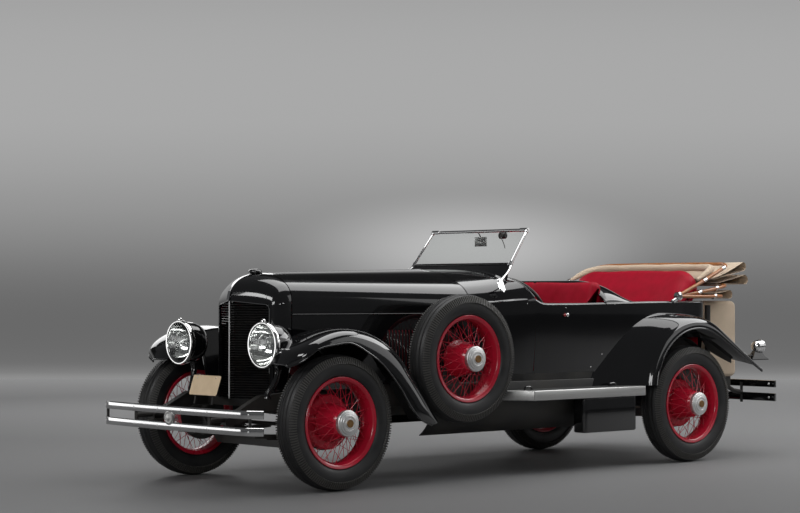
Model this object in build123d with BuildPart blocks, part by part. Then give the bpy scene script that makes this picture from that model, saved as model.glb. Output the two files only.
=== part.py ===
"""Open four-seat speedster of the late 1920s: chassis, wheels, bodywork and folded top.

X runs forward, Y to the car's left, Z up, in millimetres. The origin lies on the ground under the
middle of the car's length. Sketches are drawn from the front axle: side(y), cross(x) and level(z)
give planes whose lengths count from it.
"""
import os
from math import acos, asin, atan2, cos, degrees, hypot, pi, radians, sin

from build123d import *

# Driving dimensions
WHEELBASE = 3175
TRACK = 1440
FRONT_OVERHANG = 690
REAR_OVERHANG = 1060
FRONT_AXLE_X = (FRONT_OVERHANG + WHEELBASE + REAR_OVERHANG) / 2 - FRONT_OVERHANG
REAR_AXLE = -WHEELBASE
WHEEL_Y = TRACK / 2
RUNNING_CLEARANCE = 0.5

# Wheels
TYRE_RADIUS = 405
TYRE_HALF_WIDTH = 77.5
BEAD_RADIUS = 256
BEAD_HALF_WIDTH = 53.5
BEAD_GAP = 0.3
RIM_RADIUS = 273
RIM_HALF_WIDTH = 66
RIM_INNER_RADIUS = 246
SPINDLE_RADIUS = 30
SPINDLE_END = 117
HUB_INNER = -50
HUB_FLANGE_RADIUS = 118
HUB_NOSE_RADIUS = 75
HUB_NOSE = 105
CAP_RADIUS = 79
CAP_FACE = 150
DRUM_RADIUS = 165
DRUM_WALL = 8
DRUM_OPEN = -95
BACK_PLATE_GAP = 5
BACK_PLATE = 6
SPOKE_RADIUS = 3.2
SPOKES_PER_ROW = 12
# hub offset along the axle, rim offset along the axle, lean in degrees, start angle in degrees
SPOKE_ROWS = ((96, 24, 24, 0), (84, 10, -24, 15), (2, -10, 30, 7.5), (-12, -24, -30, 22.5))

# Chassis
RAIL_Y = 370
RAIL_WIDTH = 50
RAIL_WALL = 6
RAIL_TOP_Z = 600
RAIL_BOTTOM_Z = 460
HORN_X = 560
HORN_BOTTOM_Z = 395
TAIL_X = -4060
TAIL_TOP_Z = 560
TAIL_BOTTOM_Z = 480
KICK_TOP_Z = 720
KICK_BOTTOM_Z = 640
SEAT_PAN_Z = 745
PAN_END = -3540
SPRING_WIDTH = 50
LEAF = 8
KINGPIN_Y = 580
KINGPIN_RADIUS = 14
BOSS_RADIUS = 28
BOSS_HALF_HEIGHT = 55
EAR = 24
EAR_GAP = 1
STEER_ARM = 160
TIE_ROD_RADIUS = 12
TIE_PIN_RADIUS = 8
AXLE_PAD_Z = 280
AXLE_BEAM = 52
AXLE_TUBE_RADIUS = 42
SPRING_SEAT = 110
SPRING_EYE = 40
FRONT_SPRING = 520
FRONT_LEAVES = 5
REAR_SPRING = 725
REAR_LEAVES = 7
REAR_PAD_Z = 359
PUMPKIN_RADIUS = 130
TORQUE_TUBE_RADIUS = 36
TORQUE_TUBE_Z = 440
ARM = 14
ENGINE_FRONT = -120
ENGINE_REAR = -1200
ENGINE_HALF_WIDTH = 170
GEARBOX_END = -1620
GEARBOX_HALF_WIDTH = 120
EXHAUST_Y = -250
EXHAUST_Z = 405
PIPE_RADIUS = 24
SILENCER_RADIUS = 70

# Nose and hood
SHELL_BOTTOM_Z = 525
SHELL_HALF_WIDTH = 305
SHELL_TOP_Z = 1300
SHELL_SHOULDER = 130
SHELL_RAIL = 20
SLAT_RECESS = 14
SLAT_DEPTH = 10
CORE = 60
CAP_X = 45
CAP_NECK = 32
NOSE_X = 238
NOSE_DROP = 115
GRILLE_HALF_WIDTH = 255
GRILLE_TOP_Z = 1130
SLATS = 30
SLAT_GROOVE = 7
HOOD_LENGTH = 1320
HOOD_SHEET = 5
HOOD_GAP = 5
CREASE_Z = 1049
HINGE_ROD_RADIUS = 6
LOUVRES = 22
LOUVRE_PITCH = 24.5
LOUVRE_HEIGHT = 240
LOUVRE_SLOT = 9
LOUVRE_MIDDLE_X = -950
LOUVRE_MIDDLE_Z = 820

# Body
COWL_HALF_WIDTH = 500
COWL_TOP_Z = 1330
COWL_END = -1752
COWL_EDGE_TOP = -1650
BODY_WALL = 45
SILL_Z = 645
BELT_Z = 1107
REAR_BELT_Z = 1117
HUMP_Z = 1214
BACK_SEAM = -2960
BULKHEAD_X = -2440
BULKHEAD = 25
CREST = 26
CREST_RISE = 16
SHOULDER_ANGLE = 60
COWL_END_HALF_WIDTH = 606
COWL_WALL = 20
BACK_CORNER = 290
SIDE_REACH = 700
ARCH_RADIUS = 470
ARCH_INNER_Y = 556
HOUSE_OUTER_Y = 622
HOUSE_FOOT_Z = 620
CABIN_HALF_WIDTH = 612
SEAT_HALF_WIDTH = 570
REAR_SEAT_HALF_WIDTH = 515
DASH_X = -1610
DASH = 20
DASH_HALF_WIDTH = 552
DASH_FOOT_Z = 1060
STEERING_X = -2020
STEERING_Y = 330
STEERING_Z = 1170
STEERING_RADIUS = 215
STEERING_RIM = 13
STEERING_PIN = 12
STEERING_HUB = 34
STEERING_SPOKE = 18
COLUMN_RADIUS = 22
COLUMN_LENGTH = 900
COLUMN_TILT = 38
SCREEN_X = -1700
SCREEN_Z = 1358
SCREEN_HEIGHT = 295
SCREEN_HALF_WIDTH = 490
SCREEN_BAR = 18
SCREEN_TAPER = 86.5
RAKE = 36

# Fenders and boards
FENDER_SHEET = 5
FENDER_X = -64
FENDER_Z = 360
FENDER_RADIUS = 606
FENDER_FRONT_ANGLE = 40
FENDER_TAIL_ANGLE = 142
FENDER_TAIL = 420
FENDER_INNER_Y = 500
FENDER_OUTER_Y = 830
LAMP_EDGE_Y = 590
BOARD_TOP_Z = 545
BOARD = 65
BOARD_INNER_Y = 645
BOARD_OUTER_Y = 820
BOARD_REAR = -2650

BOARD_FRONT = -1460
APRON_FRONT = -850
APRON_REAR = -2655
APRON_SHEET = 5
APRON_TURN_Z = 480
APRON_BOTTOM_Z = 275
BOX_FRONT = -2110
BOX_REAR = -2630
BOX_BOTTOM_Z = 245
BOX_OUTER_Y = 760

# Lamps, bumpers and plate
LAMP_X = 315
LAMP_Y = 428
LAMP_Z = 864
LAMP_RADIUS = 136
LAMP_DEPTH = 215
LAMP_CAP = 95
LAMP_SHEET = 6
LENS_RISE = 14
BAR_HEIGHT = 47
BAR = 8
BOSS_FACE = 6
BOSS_RADIUS_BUMPER = 42
FRONT_BAR_HEIGHTS = (476, 378)
FRONT_BUMPER_HALF_WIDTH = 808
REAR_BAR_HEIGHTS = (490, 384)
REAR_BUMPER_HALF_WIDTH = 690
TAIL_LAMP_X = -4090
TAIL_LAMP_Y = 650
TAIL_LAMP_Z = 785
TAIL_LAMP_RADIUS = 48
PLATE_X = 425
PLATE_Z = 614
PLATE_LEAN = 18
PLATE_WIDTH = 280
PLATE_HEIGHT = 125
PLATE = 4
PLATE_BOLTS = 180
PLATE_HOLE = 5

# Folded top and trunk
TOP_PIVOT_X = -3150
TOP_PIVOT_Y = 645
TOP_PIVOT_Z = 1150
BOW = 30
CANVAS_HALF_WIDTH = 560
TRUNK_HALF_WIDTH = 450

# Spare wheels
POST = 30
POST_Y = 640
SPARE_X = -1025
SPARE_Y = 735
SPARE_Z = 763
WELL_CLEARANCE = 3


def side(y):
    """Plane at the left offset y, drawn with forward and up; extruding runs to the right."""
    return Plane(origin=(FRONT_AXLE_X, y, 0), x_dir=(1, 0, 0), z_dir=(0, -1, 0))


def cross(x):
    """Plane across the car at x, drawn with left and up; extruding runs forward."""
    return Plane(origin=(FRONT_AXLE_X + x, 0, 0), x_dir=(0, 1, 0), z_dir=(1, 0, 0))


def level(z):
    """Plane at height z, drawn with forward and left; extruding runs up."""
    return Plane(origin=(FRONT_AXLE_X, 0, z))


def dome(x, half_width, shoulder, top, bottom):
    """Section of hood or cowl at x: upright sides, round shoulders and an arched top."""
    angle = radians(SHOULDER_ANGLE)
    crown = (half_width - shoulder + shoulder * cos(angle)) / cos(angle)
    spring = top - shoulder * sin(angle) - crown * (1 - sin(angle))
    start_y = half_width - shoulder + shoulder * cos(angle)
    start_z = spring + shoulder * sin(angle)
    mid_y = half_width - shoulder + shoulder * cos(angle / 2)
    mid_z = spring + shoulder * sin(angle / 2)
    with BuildSketch(cross(x)) as section:
        with BuildLine():
            Polyline((-half_width, spring), (-half_width, bottom), (half_width, bottom), (half_width, spring))
            ThreePointArc((half_width, spring), (mid_y, mid_z), (start_y, start_z))
            ThreePointArc((start_y, start_z), (0, top), (-start_y, start_z))
            ThreePointArc((-start_y, start_z), (-mid_y, mid_z), (-half_width, spring))
        make_face()
    return section.sketch


# Tyre: one round-shouldered ring, seated on the rim's beads
with BuildPart() as tyre:
    with BuildSketch(Plane.XY):
        with BuildLine():
            bead = BEAD_RADIUS + BEAD_GAP
            Polyline((RIM_RADIUS + 3, -BEAD_HALF_WIDTH), (bead, -BEAD_HALF_WIDTH),
                     (bead, BEAD_HALF_WIDTH), (RIM_RADIUS + 3, BEAD_HALF_WIDTH))
            ThreePointArc((RIM_RADIUS + 3, BEAD_HALF_WIDTH), (TYRE_RADIUS - 75, TYRE_HALF_WIDTH),
                          (TYRE_RADIUS - 17, TYRE_HALF_WIDTH - 20))
            ThreePointArc((TYRE_RADIUS - 17, TYRE_HALF_WIDTH - 20), (TYRE_RADIUS, 0),
                          (TYRE_RADIUS - 17, 20 - TYRE_HALF_WIDTH))
            ThreePointArc((TYRE_RADIUS - 17, 20 - TYRE_HALF_WIDTH), (TYRE_RADIUS - 75, -TYRE_HALF_WIDTH),
                          (RIM_RADIUS + 3, -BEAD_HALF_WIDTH))
        make_face()
    revolve(axis=Axis.Y)


def hub_outline(inner_edge):
    """Half section of a hub, from the end of its bore out over the cap and back along the bore."""
    bore = SPINDLE_RADIUS + RUNNING_CLEARANCE
    return [(HUB_FLANGE_RADIUS, HUB_INNER), (HUB_FLANGE_RADIUS, HUB_INNER + 40), (HUB_NOSE_RADIUS, HUB_NOSE),
            (CAP_RADIUS, HUB_NOSE + 3), (CAP_RADIUS, CAP_FACE - 18), (CAP_RADIUS - 17, CAP_FACE - 3),
            (0, CAP_FACE), (0, SPINDLE_END + 3), (bore, SPINDLE_END + 3)] + inner_edge


def lace_wheel():
    """Rim with its crossed spokes, whose feet reach into the hub."""
    with BuildPart() as lacing:
        with BuildSketch(Plane.XY):
            with BuildLine():
                half = RIM_HALF_WIDTH
                Polyline((RIM_INNER_RADIUS, -half + 16), (RIM_INNER_RADIUS + 12, -half), (RIM_RADIUS, -half),
                         (RIM_RADIUS, -half + 8), (BEAD_RADIUS, -half + 12), (BEAD_RADIUS, half - 12),
                         (RIM_RADIUS, half - 8), (RIM_RADIUS, half), (RIM_INNER_RADIUS + 12, half),
                         (RIM_INNER_RADIUS, half - 16), close=True)
            make_face()
        revolve(axis=Axis.Y)
        for hub_y, rim_y, lean, start in SPOKE_ROWS:
            fall = (HUB_FLANGE_RADIUS - HUB_NOSE_RADIUS) / (HUB_NOSE - HUB_INNER - 40)
            hub_radius = min(HUB_FLANGE_RADIUS, HUB_FLANGE_RADIUS - (hub_y - HUB_INNER - 40) * fall) - 4
            rim_radius = RIM_INNER_RADIUS + 4
            for spoke in range(SPOKES_PER_ROW):
                foot_angle = radians(start + spoke * 360 / SPOKES_PER_ROW)
                rim_angle = foot_angle + radians(lean)
                foot = Vector(hub_radius * cos(foot_angle), hub_y, hub_radius * sin(foot_angle))
                head = Vector(rim_radius * cos(rim_angle), rim_y, rim_radius * sin(rim_angle))
                with BuildSketch(Plane(origin=foot, z_dir=head - foot)):
                    RegularPolygon(SPOKE_RADIUS, 4)
            extrude(amount=(head - foot).length)
    return lacing.part


lacing = lace_wheel()

# Road wheel: hub with brake drum and cap, laced to the rim
with BuildPart() as road_wheel:
    with BuildSketch(Plane.XY):
        with BuildLine():
            bore = SPINDLE_RADIUS + RUNNING_CLEARANCE
            face = HUB_INNER - DRUM_WALL
            Polyline(*hub_outline([(bore, face - 12), (bore + 30, face - 12), (bore + 30, face),
                                   (DRUM_RADIUS - DRUM_WALL, face), (DRUM_RADIUS - DRUM_WALL, DRUM_OPEN),
                                   (DRUM_RADIUS, DRUM_OPEN), (DRUM_RADIUS, HUB_INNER)]), close=True)
        make_face()
    revolve(axis=Axis.Y)
    add(lacing)

# Spare wheel: the same hub and lacing with no drum
with BuildPart() as spare_wheel:
    with BuildSketch(Plane.XY):
        with BuildLine():
            Polyline(*hub_outline([(SPINDLE_RADIUS + RUNNING_CLEARANCE, HUB_INNER)]), close=True)
        make_face()
    revolve(axis=Axis.Y)
    add(lacing)

# Places of the four road wheels: name, along the car, across the car, turn about Z
WHEEL_PLACES = (("front_left", FRONT_AXLE_X, WHEEL_Y, 0), ("front_right", FRONT_AXLE_X, -WHEEL_Y, 180),
                ("rear_left", FRONT_AXLE_X + REAR_AXLE, WHEEL_Y, 0),
                ("rear_right", FRONT_AXLE_X + REAR_AXLE, -WHEEL_Y, 180))
os.makedirs("parts", exist_ok=True)
for corner, wheel_x, wheel_y, turn in WHEEL_PLACES:
    place = Location((wheel_x, wheel_y, TYRE_RADIUS), (0, 0, turn))
    with BuildPart() as placed_wheel:
        with Locations(place):
            add(road_wheel.part)
    placed_wheel.part.label = f"wheel_{corner}"
    export_step(placed_wheel.part, f"parts/wheel_{corner}.step")
    with BuildPart() as placed_tyre:
        with Locations(place):
            add(tyre.part)
    placed_tyre.part.label = f"tyre_{corner}"
    export_step(placed_tyre.part, f"parts/tyre_{corner}.step")

SPARE_PLACES = (Location((FRONT_AXLE_X + SPARE_X, SPARE_Y, SPARE_Z)),
                Location((FRONT_AXLE_X + SPARE_X, -SPARE_Y, SPARE_Z), (0, 0, 180)))
with BuildPart() as spare_wheels:
    with Locations(*SPARE_PLACES):
        add(spare_wheel.part)
with BuildPart() as spare_tyres:
    with Locations(*SPARE_PLACES):
        add(tyre.part)

# Frame rails: pressed channels, open inboard, dropped to the spring horns and kicked up over the axle
with BuildPart() as frame_rails:
    with BuildSketch(side(RAIL_Y + RAIL_WIDTH / 2)) as rail_outline:
        with BuildLine():
            Polyline((HORN_X, HORN_BOTTOM_Z), (HORN_X, HORN_BOTTOM_Z + 35), (300, RAIL_TOP_Z - 40), (-300, RAIL_TOP_Z),
                     (-2700, RAIL_TOP_Z), (-2880, KICK_TOP_Z), (-3450, KICK_TOP_Z), (-3680, TAIL_TOP_Z),
                     (TAIL_X, TAIL_TOP_Z), (TAIL_X, TAIL_BOTTOM_Z), (-3640, TAIL_BOTTOM_Z),
                     (-3400, KICK_BOTTOM_Z), (-2920, KICK_BOTTOM_Z), (-2740, RAIL_BOTTOM_Z),
                     (-300, RAIL_BOTTOM_Z), (250, RAIL_BOTTOM_Z + 10), (480, HORN_BOTTOM_Z), close=True)
        make_face()
    extrude(amount=RAIL_WIDTH)
    with BuildSketch(side(RAIL_Y + RAIL_WIDTH / 2 - RAIL_WALL)):
        add(rail_outline.sketch_local)
        offset(amount=-RAIL_WALL, mode=Mode.REPLACE)
    extrude(amount=RAIL_WIDTH, mode=Mode.SUBTRACT)
    mirror(about=Plane.XZ)

# Cross members between the channels: middle, bottom, height, depth along the car
CROSS_MEMBERS = ((90, 475, SHELL_BOTTOM_Z - 475, 70), (-1700, 490, 70, 60), (-2550, 490, 70, 60),
                 (-3990, 492, 56, 50))
RAIL_WEB_Y = RAIL_Y + RAIL_WIDTH / 2 - RAIL_WALL
with BuildPart() as cross_members:
    for member_x, bottom, height, depth in CROSS_MEMBERS:
        with BuildSketch(side(RAIL_WEB_Y)):
            with Locations((member_x, bottom + height / 2)):
                Rectangle(depth, height)
        extrude(amount=2 * RAIL_WEB_Y)


def leaf_pack(front_x, rear_x, end_z, middle_z, leaves, seat_bottom, seat_top, hangers):
    """Semi-elliptic spring under the rail: stacked arcs, a flat seat and two end hangers."""
    middle_x = (front_x + rear_x) / 2
    half = (front_x - rear_x) / 2
    with BuildPart() as pack:
        for leaf in range(leaves):
            reach = half * (1 - leaf / (leaves + 1))
            rise = (end_z - middle_z) * (reach / half) ** 2
            high = middle_z - leaf * LEAF
            low = high - LEAF
            with BuildSketch(side(RAIL_Y + SPRING_WIDTH / 2)):
                with BuildLine():
                    ThreePointArc((middle_x - reach, low + rise), (middle_x, low), (middle_x + reach, low + rise))
                    Line((middle_x + reach, low + rise), (middle_x + reach, high + rise))
                    ThreePointArc((middle_x + reach, high + rise), (middle_x, high), (middle_x - reach, high + rise))
                    Line((middle_x - reach, high + rise), (middle_x - reach, low + rise))
                make_face()
            extrude(amount=SPRING_WIDTH)
        with BuildSketch(side(RAIL_Y + SPRING_WIDTH / 2)):
            with Locations((middle_x, (seat_bottom + seat_top) / 2)):
                Rectangle(SPRING_SEAT, seat_top - seat_bottom)
            for end_x, hanger_z in zip((front_x, rear_x), hangers):
                with Locations((end_x, (end_z - LEAF + hanger_z) / 2)):
                    Rectangle(SPRING_EYE, hanger_z - end_z + LEAF)
        extrude(amount=SPRING_WIDTH)
    return pack.part


# Leaf springs: front pair above the axle, rear pair slung below it
FRONT_PACK_Z = AXLE_PAD_Z + FRONT_LEAVES * LEAF
with BuildPart() as leaf_springs:
    add(leaf_pack(FRONT_SPRING, -FRONT_SPRING, FRONT_PACK_Z + 33, FRONT_PACK_Z, FRONT_LEAVES, AXLE_PAD_Z,
                  FRONT_PACK_Z, (HORN_BOTTOM_Z, RAIL_BOTTOM_Z)))
    add(leaf_pack(REAR_AXLE + REAR_SPRING, REAR_AXLE - REAR_SPRING, REAR_PAD_Z + 82, REAR_PAD_Z - 1, REAR_LEAVES,
                  REAR_PAD_Z - 1 - REAR_LEAVES * LEAF, REAR_PAD_Z, (RAIL_BOTTOM_Z, TAIL_BOTTOM_Z)))
    mirror(about=Plane.XZ)

# Front axle: a dropped beam with a pad under each spring and an eye for each kingpin
with BuildPart() as front_axle:
    with BuildSketch(cross(-AXLE_BEAM / 2)):
        with BuildLine():
            pad = RAIL_Y + SPRING_WIDTH
            eye = KINGPIN_Y - BOSS_RADIUS + 6
            Polyline((-pad, AXLE_PAD_Z), (pad, AXLE_PAD_Z), (eye, TYRE_RADIUS + 40), (eye, TYRE_RADIUS - 30),
                     (pad, AXLE_PAD_Z - AXLE_BEAM), (-pad, AXLE_PAD_Z - AXLE_BEAM), (-eye, TYRE_RADIUS - 30),
                     (-eye, TYRE_RADIUS + 40), close=True)
        make_face()
    extrude(amount=AXLE_BEAM)
    with BuildSketch(level(TYRE_RADIUS)):
        with Locations((0, KINGPIN_Y), (0, -KINGPIN_Y)):
            Circle(BOSS_RADIUS)
    extrude(amount=BOSS_HALF_HEIGHT, both=True)
    with BuildSketch(level(TYRE_RADIUS)):
        with Locations((0, KINGPIN_Y), (0, -KINGPIN_Y)):
            Circle(KINGPIN_RADIUS + RUNNING_CLEARANCE)
    extrude(amount=BOSS_HALF_HEIGHT, both=True, mode=Mode.SUBTRACT)

# Rear axle: tubes, pumpkin, spring pads, brake plates, half shafts and the torque tube to the gearbox
BACK_PLATE_Y = WHEEL_Y + DRUM_OPEN - BACK_PLATE_GAP
with BuildPart() as rear_axle:
    with BuildSketch(Plane(origin=(FRONT_AXLE_X + REAR_AXLE, 0, TYRE_RADIUS), x_dir=(1, 0, 0), z_dir=(0, 1, 0))):
        Circle(AXLE_TUBE_RADIUS)
    extrude(amount=BACK_PLATE_Y, both=True)
    with BuildSketch(side(0)):
        with BuildLine():
            Line((REAR_AXLE - PUMPKIN_RADIUS, TYRE_RADIUS), (REAR_AXLE + PUMPKIN_RADIUS, TYRE_RADIUS))
            ThreePointArc((REAR_AXLE + PUMPKIN_RADIUS, TYRE_RADIUS), (REAR_AXLE, TYRE_RADIUS + PUMPKIN_RADIUS),
                          (REAR_AXLE - PUMPKIN_RADIUS, TYRE_RADIUS))
        make_face()
    revolve(axis=Axis((FRONT_AXLE_X + REAR_AXLE, 0, TYRE_RADIUS), (1, 0, 0)))
    with BuildSketch(side(RAIL_Y + SPRING_WIDTH / 2)):
        with Locations((REAR_AXLE, (REAR_PAD_Z + TYRE_RADIUS) / 2)):
            Rectangle(SPRING_SEAT, TYRE_RADIUS - REAR_PAD_Z)
    extrude(amount=SPRING_WIDTH)
    with BuildSketch(side(BACK_PLATE_Y)):
        with Locations((REAR_AXLE, TYRE_RADIUS)):
            Circle(DRUM_RADIUS + 5)
    extrude(amount=BACK_PLATE)
    with BuildSketch(side(WHEEL_Y + SPINDLE_END)):
        with Locations((REAR_AXLE, TYRE_RADIUS)):
            Circle(SPINDLE_RADIUS)
    extrude(amount=WHEEL_Y + SPINDLE_END - BACK_PLATE_Y)
    mirror(about=Plane.XZ)
    with BuildSketch(cross(REAR_AXLE)):
        with Locations((0, TORQUE_TUBE_Z)):
            Circle(TORQUE_TUBE_RADIUS)
    extrude(amount=GEARBOX_END - REAR_AXLE)

# Engine with gearbox: one plain block on four arms between the rails
with BuildPart() as engine:
    with BuildSketch(side(ENGINE_HALF_WIDTH)):
        with BuildLine():
            FilletPolyline((ENGINE_FRONT, 1010), (ENGINE_REAR, 1010), (ENGINE_REAR, 470), (ENGINE_REAR + 120, 385),
                           (ENGINE_FRONT - 250, 385), (ENGINE_FRONT, 420), radius=30, close=True)
        make_face()
    extrude(amount=2 * ENGINE_HALF_WIDTH)
    with BuildSketch(side(GEARBOX_HALF_WIDTH)):
        with Locations(((ENGINE_REAR + GEARBOX_END) / 2, TORQUE_TUBE_Z + 50)):
            Rectangle(ENGINE_REAR - GEARBOX_END, 200)
    extrude(amount=2 * GEARBOX_HALF_WIDTH)
    with BuildSketch(side(RAIL_Y - RAIL_WIDTH / 2)):
        with Locations((ENGINE_FRONT - 250, RAIL_TOP_Z - 15), (ENGINE_REAR + 80, RAIL_TOP_Z - 15)):
            Rectangle(60, 30)
    extrude(amount=2 * RAIL_Y - RAIL_WIDTH)

# Exhaust: a silencer on a hanger and a tail pipe that rises over the rear axle
with BuildPart() as exhaust:
    with BuildLine(side(EXHAUST_Y)) as pipe_route:
        FilletPolyline((ENGINE_REAR + 100, EXHAUST_Z), (-2850, EXHAUST_Z), (-3060, 545), (-3310, 545),
                       (-3520, 330), (TAIL_X - 60, 330), radius=90)
    with BuildSketch(Plane(origin=pipe_route.wires()[0] @ 0, z_dir=pipe_route.wires()[0] % 0)):
        Circle(PIPE_RADIUS)
    sweep()
    with BuildSketch(Plane(origin=(FRONT_AXLE_X - 1850, EXHAUST_Y, EXHAUST_Z), z_dir=(-1, 0, 0))):
        Circle(SILENCER_RADIUS)
    extrude(amount=600)
    with BuildSketch(side(EXHAUST_Y + 15)):
        with Locations((-2550, (EXHAUST_Z + 490) / 2)):
            Rectangle(20, 490 - EXHAUST_Z)
    extrude(amount=30)

# Fuel tank: a round-edged box slung between the rail tails
with BuildPart() as fuel_tank:
    with BuildSketch(side(RAIL_Y - RAIL_WIDTH / 2)):
        with Locations((-3800, 460)):
            RectangleRounded(310, 170, 50)
    extrude(amount=2 * RAIL_Y - RAIL_WIDTH)


# Left steering knuckle: two ears round the axle eye, kingpin, spindle, brake plate and steering arm
with BuildPart() as knuckle_left:
    with BuildSketch(level(TYRE_RADIUS - BOSS_HALF_HEIGHT - EAR_GAP - EAR)):
        with Locations((0, KINGPIN_Y)):
            Circle(BOSS_RADIUS + 4)
        with Locations((0, (KINGPIN_Y + BACK_PLATE_Y) / 2)):
            Rectangle(2 * BOSS_RADIUS, BACK_PLATE_Y - KINGPIN_Y)
    extrude(amount=EAR)
    with BuildSketch(level(TYRE_RADIUS + BOSS_HALF_HEIGHT + EAR_GAP)):
        with Locations((0, KINGPIN_Y)):
            Circle(BOSS_RADIUS + 4)
        with Locations((0, (KINGPIN_Y + BACK_PLATE_Y) / 2)):
            Rectangle(2 * BOSS_RADIUS, BACK_PLATE_Y - KINGPIN_Y)
    extrude(amount=EAR)
    with BuildSketch(level(TYRE_RADIUS)):
        with Locations((0, KINGPIN_Y)):
            Circle(KINGPIN_RADIUS)
    extrude(amount=BOSS_HALF_HEIGHT + EAR_GAP + EAR, both=True)
    with BuildSketch(side(BACK_PLATE_Y)):
        with Locations((0, TYRE_RADIUS)):
            Circle(DRUM_RADIUS + 5)
    extrude(amount=BACK_PLATE)
    with BuildSketch(side(WHEEL_Y + SPINDLE_END)):
        with Locations((0, TYRE_RADIUS)):
            Circle(SPINDLE_RADIUS)
    extrude(amount=WHEEL_Y + SPINDLE_END - BACK_PLATE_Y)
    with BuildSketch(level(TYRE_RADIUS - BOSS_HALF_HEIGHT - EAR_GAP - EAR)):
        with Locations((-STEER_ARM / 2, KINGPIN_Y)):
            SlotCenterToCenter(STEER_ARM, 34)
    extrude(amount=ARM)
    with BuildSketch(level(TYRE_RADIUS - BOSS_HALF_HEIGHT - EAR_GAP - EAR)):
        with Locations((-STEER_ARM, KINGPIN_Y)):
            Circle(TIE_PIN_RADIUS)
    extrude(amount=ARM + 2 * TIE_ROD_RADIUS + 6)

with BuildPart() as knuckle_right:
    mirror(knuckle_left.part, about=Plane.XZ)

# Tie rod behind the axle, an eye round each arm's pin
TIE_ROD_Z = TYRE_RADIUS - BOSS_HALF_HEIGHT - EAR_GAP - EAR + ARM + 2 + TIE_ROD_RADIUS
with BuildPart() as tie_rod:
    with BuildSketch(Plane(origin=(FRONT_AXLE_X - STEER_ARM, 0, TIE_ROD_Z), x_dir=(1, 0, 0), z_dir=(0, 1, 0))):
        Circle(TIE_ROD_RADIUS)
    extrude(amount=KINGPIN_Y, both=True)
    with BuildSketch(level(TIE_ROD_Z)):
        with Locations((-STEER_ARM, KINGPIN_Y), (-STEER_ARM, -KINGPIN_Y)):
            Circle(TIE_PIN_RADIUS + 10)
    extrude(amount=TIE_ROD_RADIUS, both=True)
    with BuildSketch(level(TIE_ROD_Z)):
        with Locations((-STEER_ARM, KINGPIN_Y), (-STEER_ARM, -KINGPIN_Y)):
            Circle(TIE_PIN_RADIUS + RUNNING_CLEARANCE)
    extrude(amount=2 * TIE_ROD_RADIUS, both=True, mode=Mode.SUBTRACT)

# Hood block: two domed sections, outer skin less inner skin
REAR_SHOULDER = 170
with BuildPart() as hood_shell:
    loft([dome(0, SHELL_HALF_WIDTH, SHELL_SHOULDER, SHELL_TOP_Z, RAIL_TOP_Z),
          dome(-HOOD_LENGTH, COWL_HALF_WIDTH, REAR_SHOULDER, COWL_TOP_Z, RAIL_TOP_Z)], ruled=True)
    loft([dome(0, SHELL_HALF_WIDTH - HOOD_SHEET, SHELL_SHOULDER - HOOD_SHEET, SHELL_TOP_Z - HOOD_SHEET, 0),
          dome(-HOOD_LENGTH, COWL_HALF_WIDTH - HOOD_SHEET, REAR_SHOULDER - HOOD_SHEET, COWL_TOP_Z - HOOD_SHEET, 0)],
         ruled=True, mode=Mode.SUBTRACT)

# Hood hinge line: from the radiator shell up to the cowl, half a sheet below the skin
HINGE_FRONT = Vector(FRONT_AXLE_X, 0, SHELL_TOP_Z - HOOD_SHEET / 2)
HINGE_REAR = Vector(FRONT_AXLE_X - HOOD_LENGTH, 0, COWL_TOP_Z - HOOD_SHEET / 2)
HINGE_PLANE = Plane(origin=HINGE_FRONT, z_dir=HINGE_REAR - HINGE_FRONT)

# Left hood lid: the skin above the crease, cleared round the hinge rod
with BuildPart() as hood_left:
    add(hood_shell.part)
    with BuildSketch(side(COWL_HALF_WIDTH)):
        with Locations((-HOOD_LENGTH / 2, (CREASE_Z + HOOD_GAP / 2 + COWL_TOP_Z) / 2)):
            Rectangle(HOOD_LENGTH - 2 * HOOD_GAP, COWL_TOP_Z - CREASE_Z - HOOD_GAP / 2)
    extrude(amount=COWL_HALF_WIDTH, mode=Mode.INTERSECT)
    with BuildSketch(HINGE_PLANE):
        Circle(HINGE_ROD_RADIUS + RUNNING_CLEARANCE)
    extrude(amount=HOOD_LENGTH + 10, mode=Mode.SUBTRACT)

with BuildPart() as hood_right:
    mirror(hood_left.part, about=Plane.XZ)

# Hood sides: the skin below the crease, with a bank of pressed louvres
with BuildPart() as hood_sides:
    add(hood_shell.part)
    with BuildSketch(side(COWL_HALF_WIDTH)):
        with Locations((-HOOD_LENGTH / 2, (RAIL_TOP_Z + CREASE_Z - HOOD_GAP / 2) / 2)):
            Rectangle(HOOD_LENGTH, CREASE_Z - HOOD_GAP / 2 - RAIL_TOP_Z)
    extrude(amount=2 * COWL_HALF_WIDTH, mode=Mode.INTERSECT)
    with BuildSketch(side(COWL_HALF_WIDTH)):
        with Locations((LOUVRE_MIDDLE_X, LOUVRE_MIDDLE_Z)):
            with GridLocations(LOUVRE_PITCH, 1, LOUVRES, 1):
                SlotOverall(LOUVRE_HEIGHT, LOUVRE_SLOT, rotation=90)
    extrude(amount=2 * COWL_HALF_WIDTH, mode=Mode.SUBTRACT)

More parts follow.
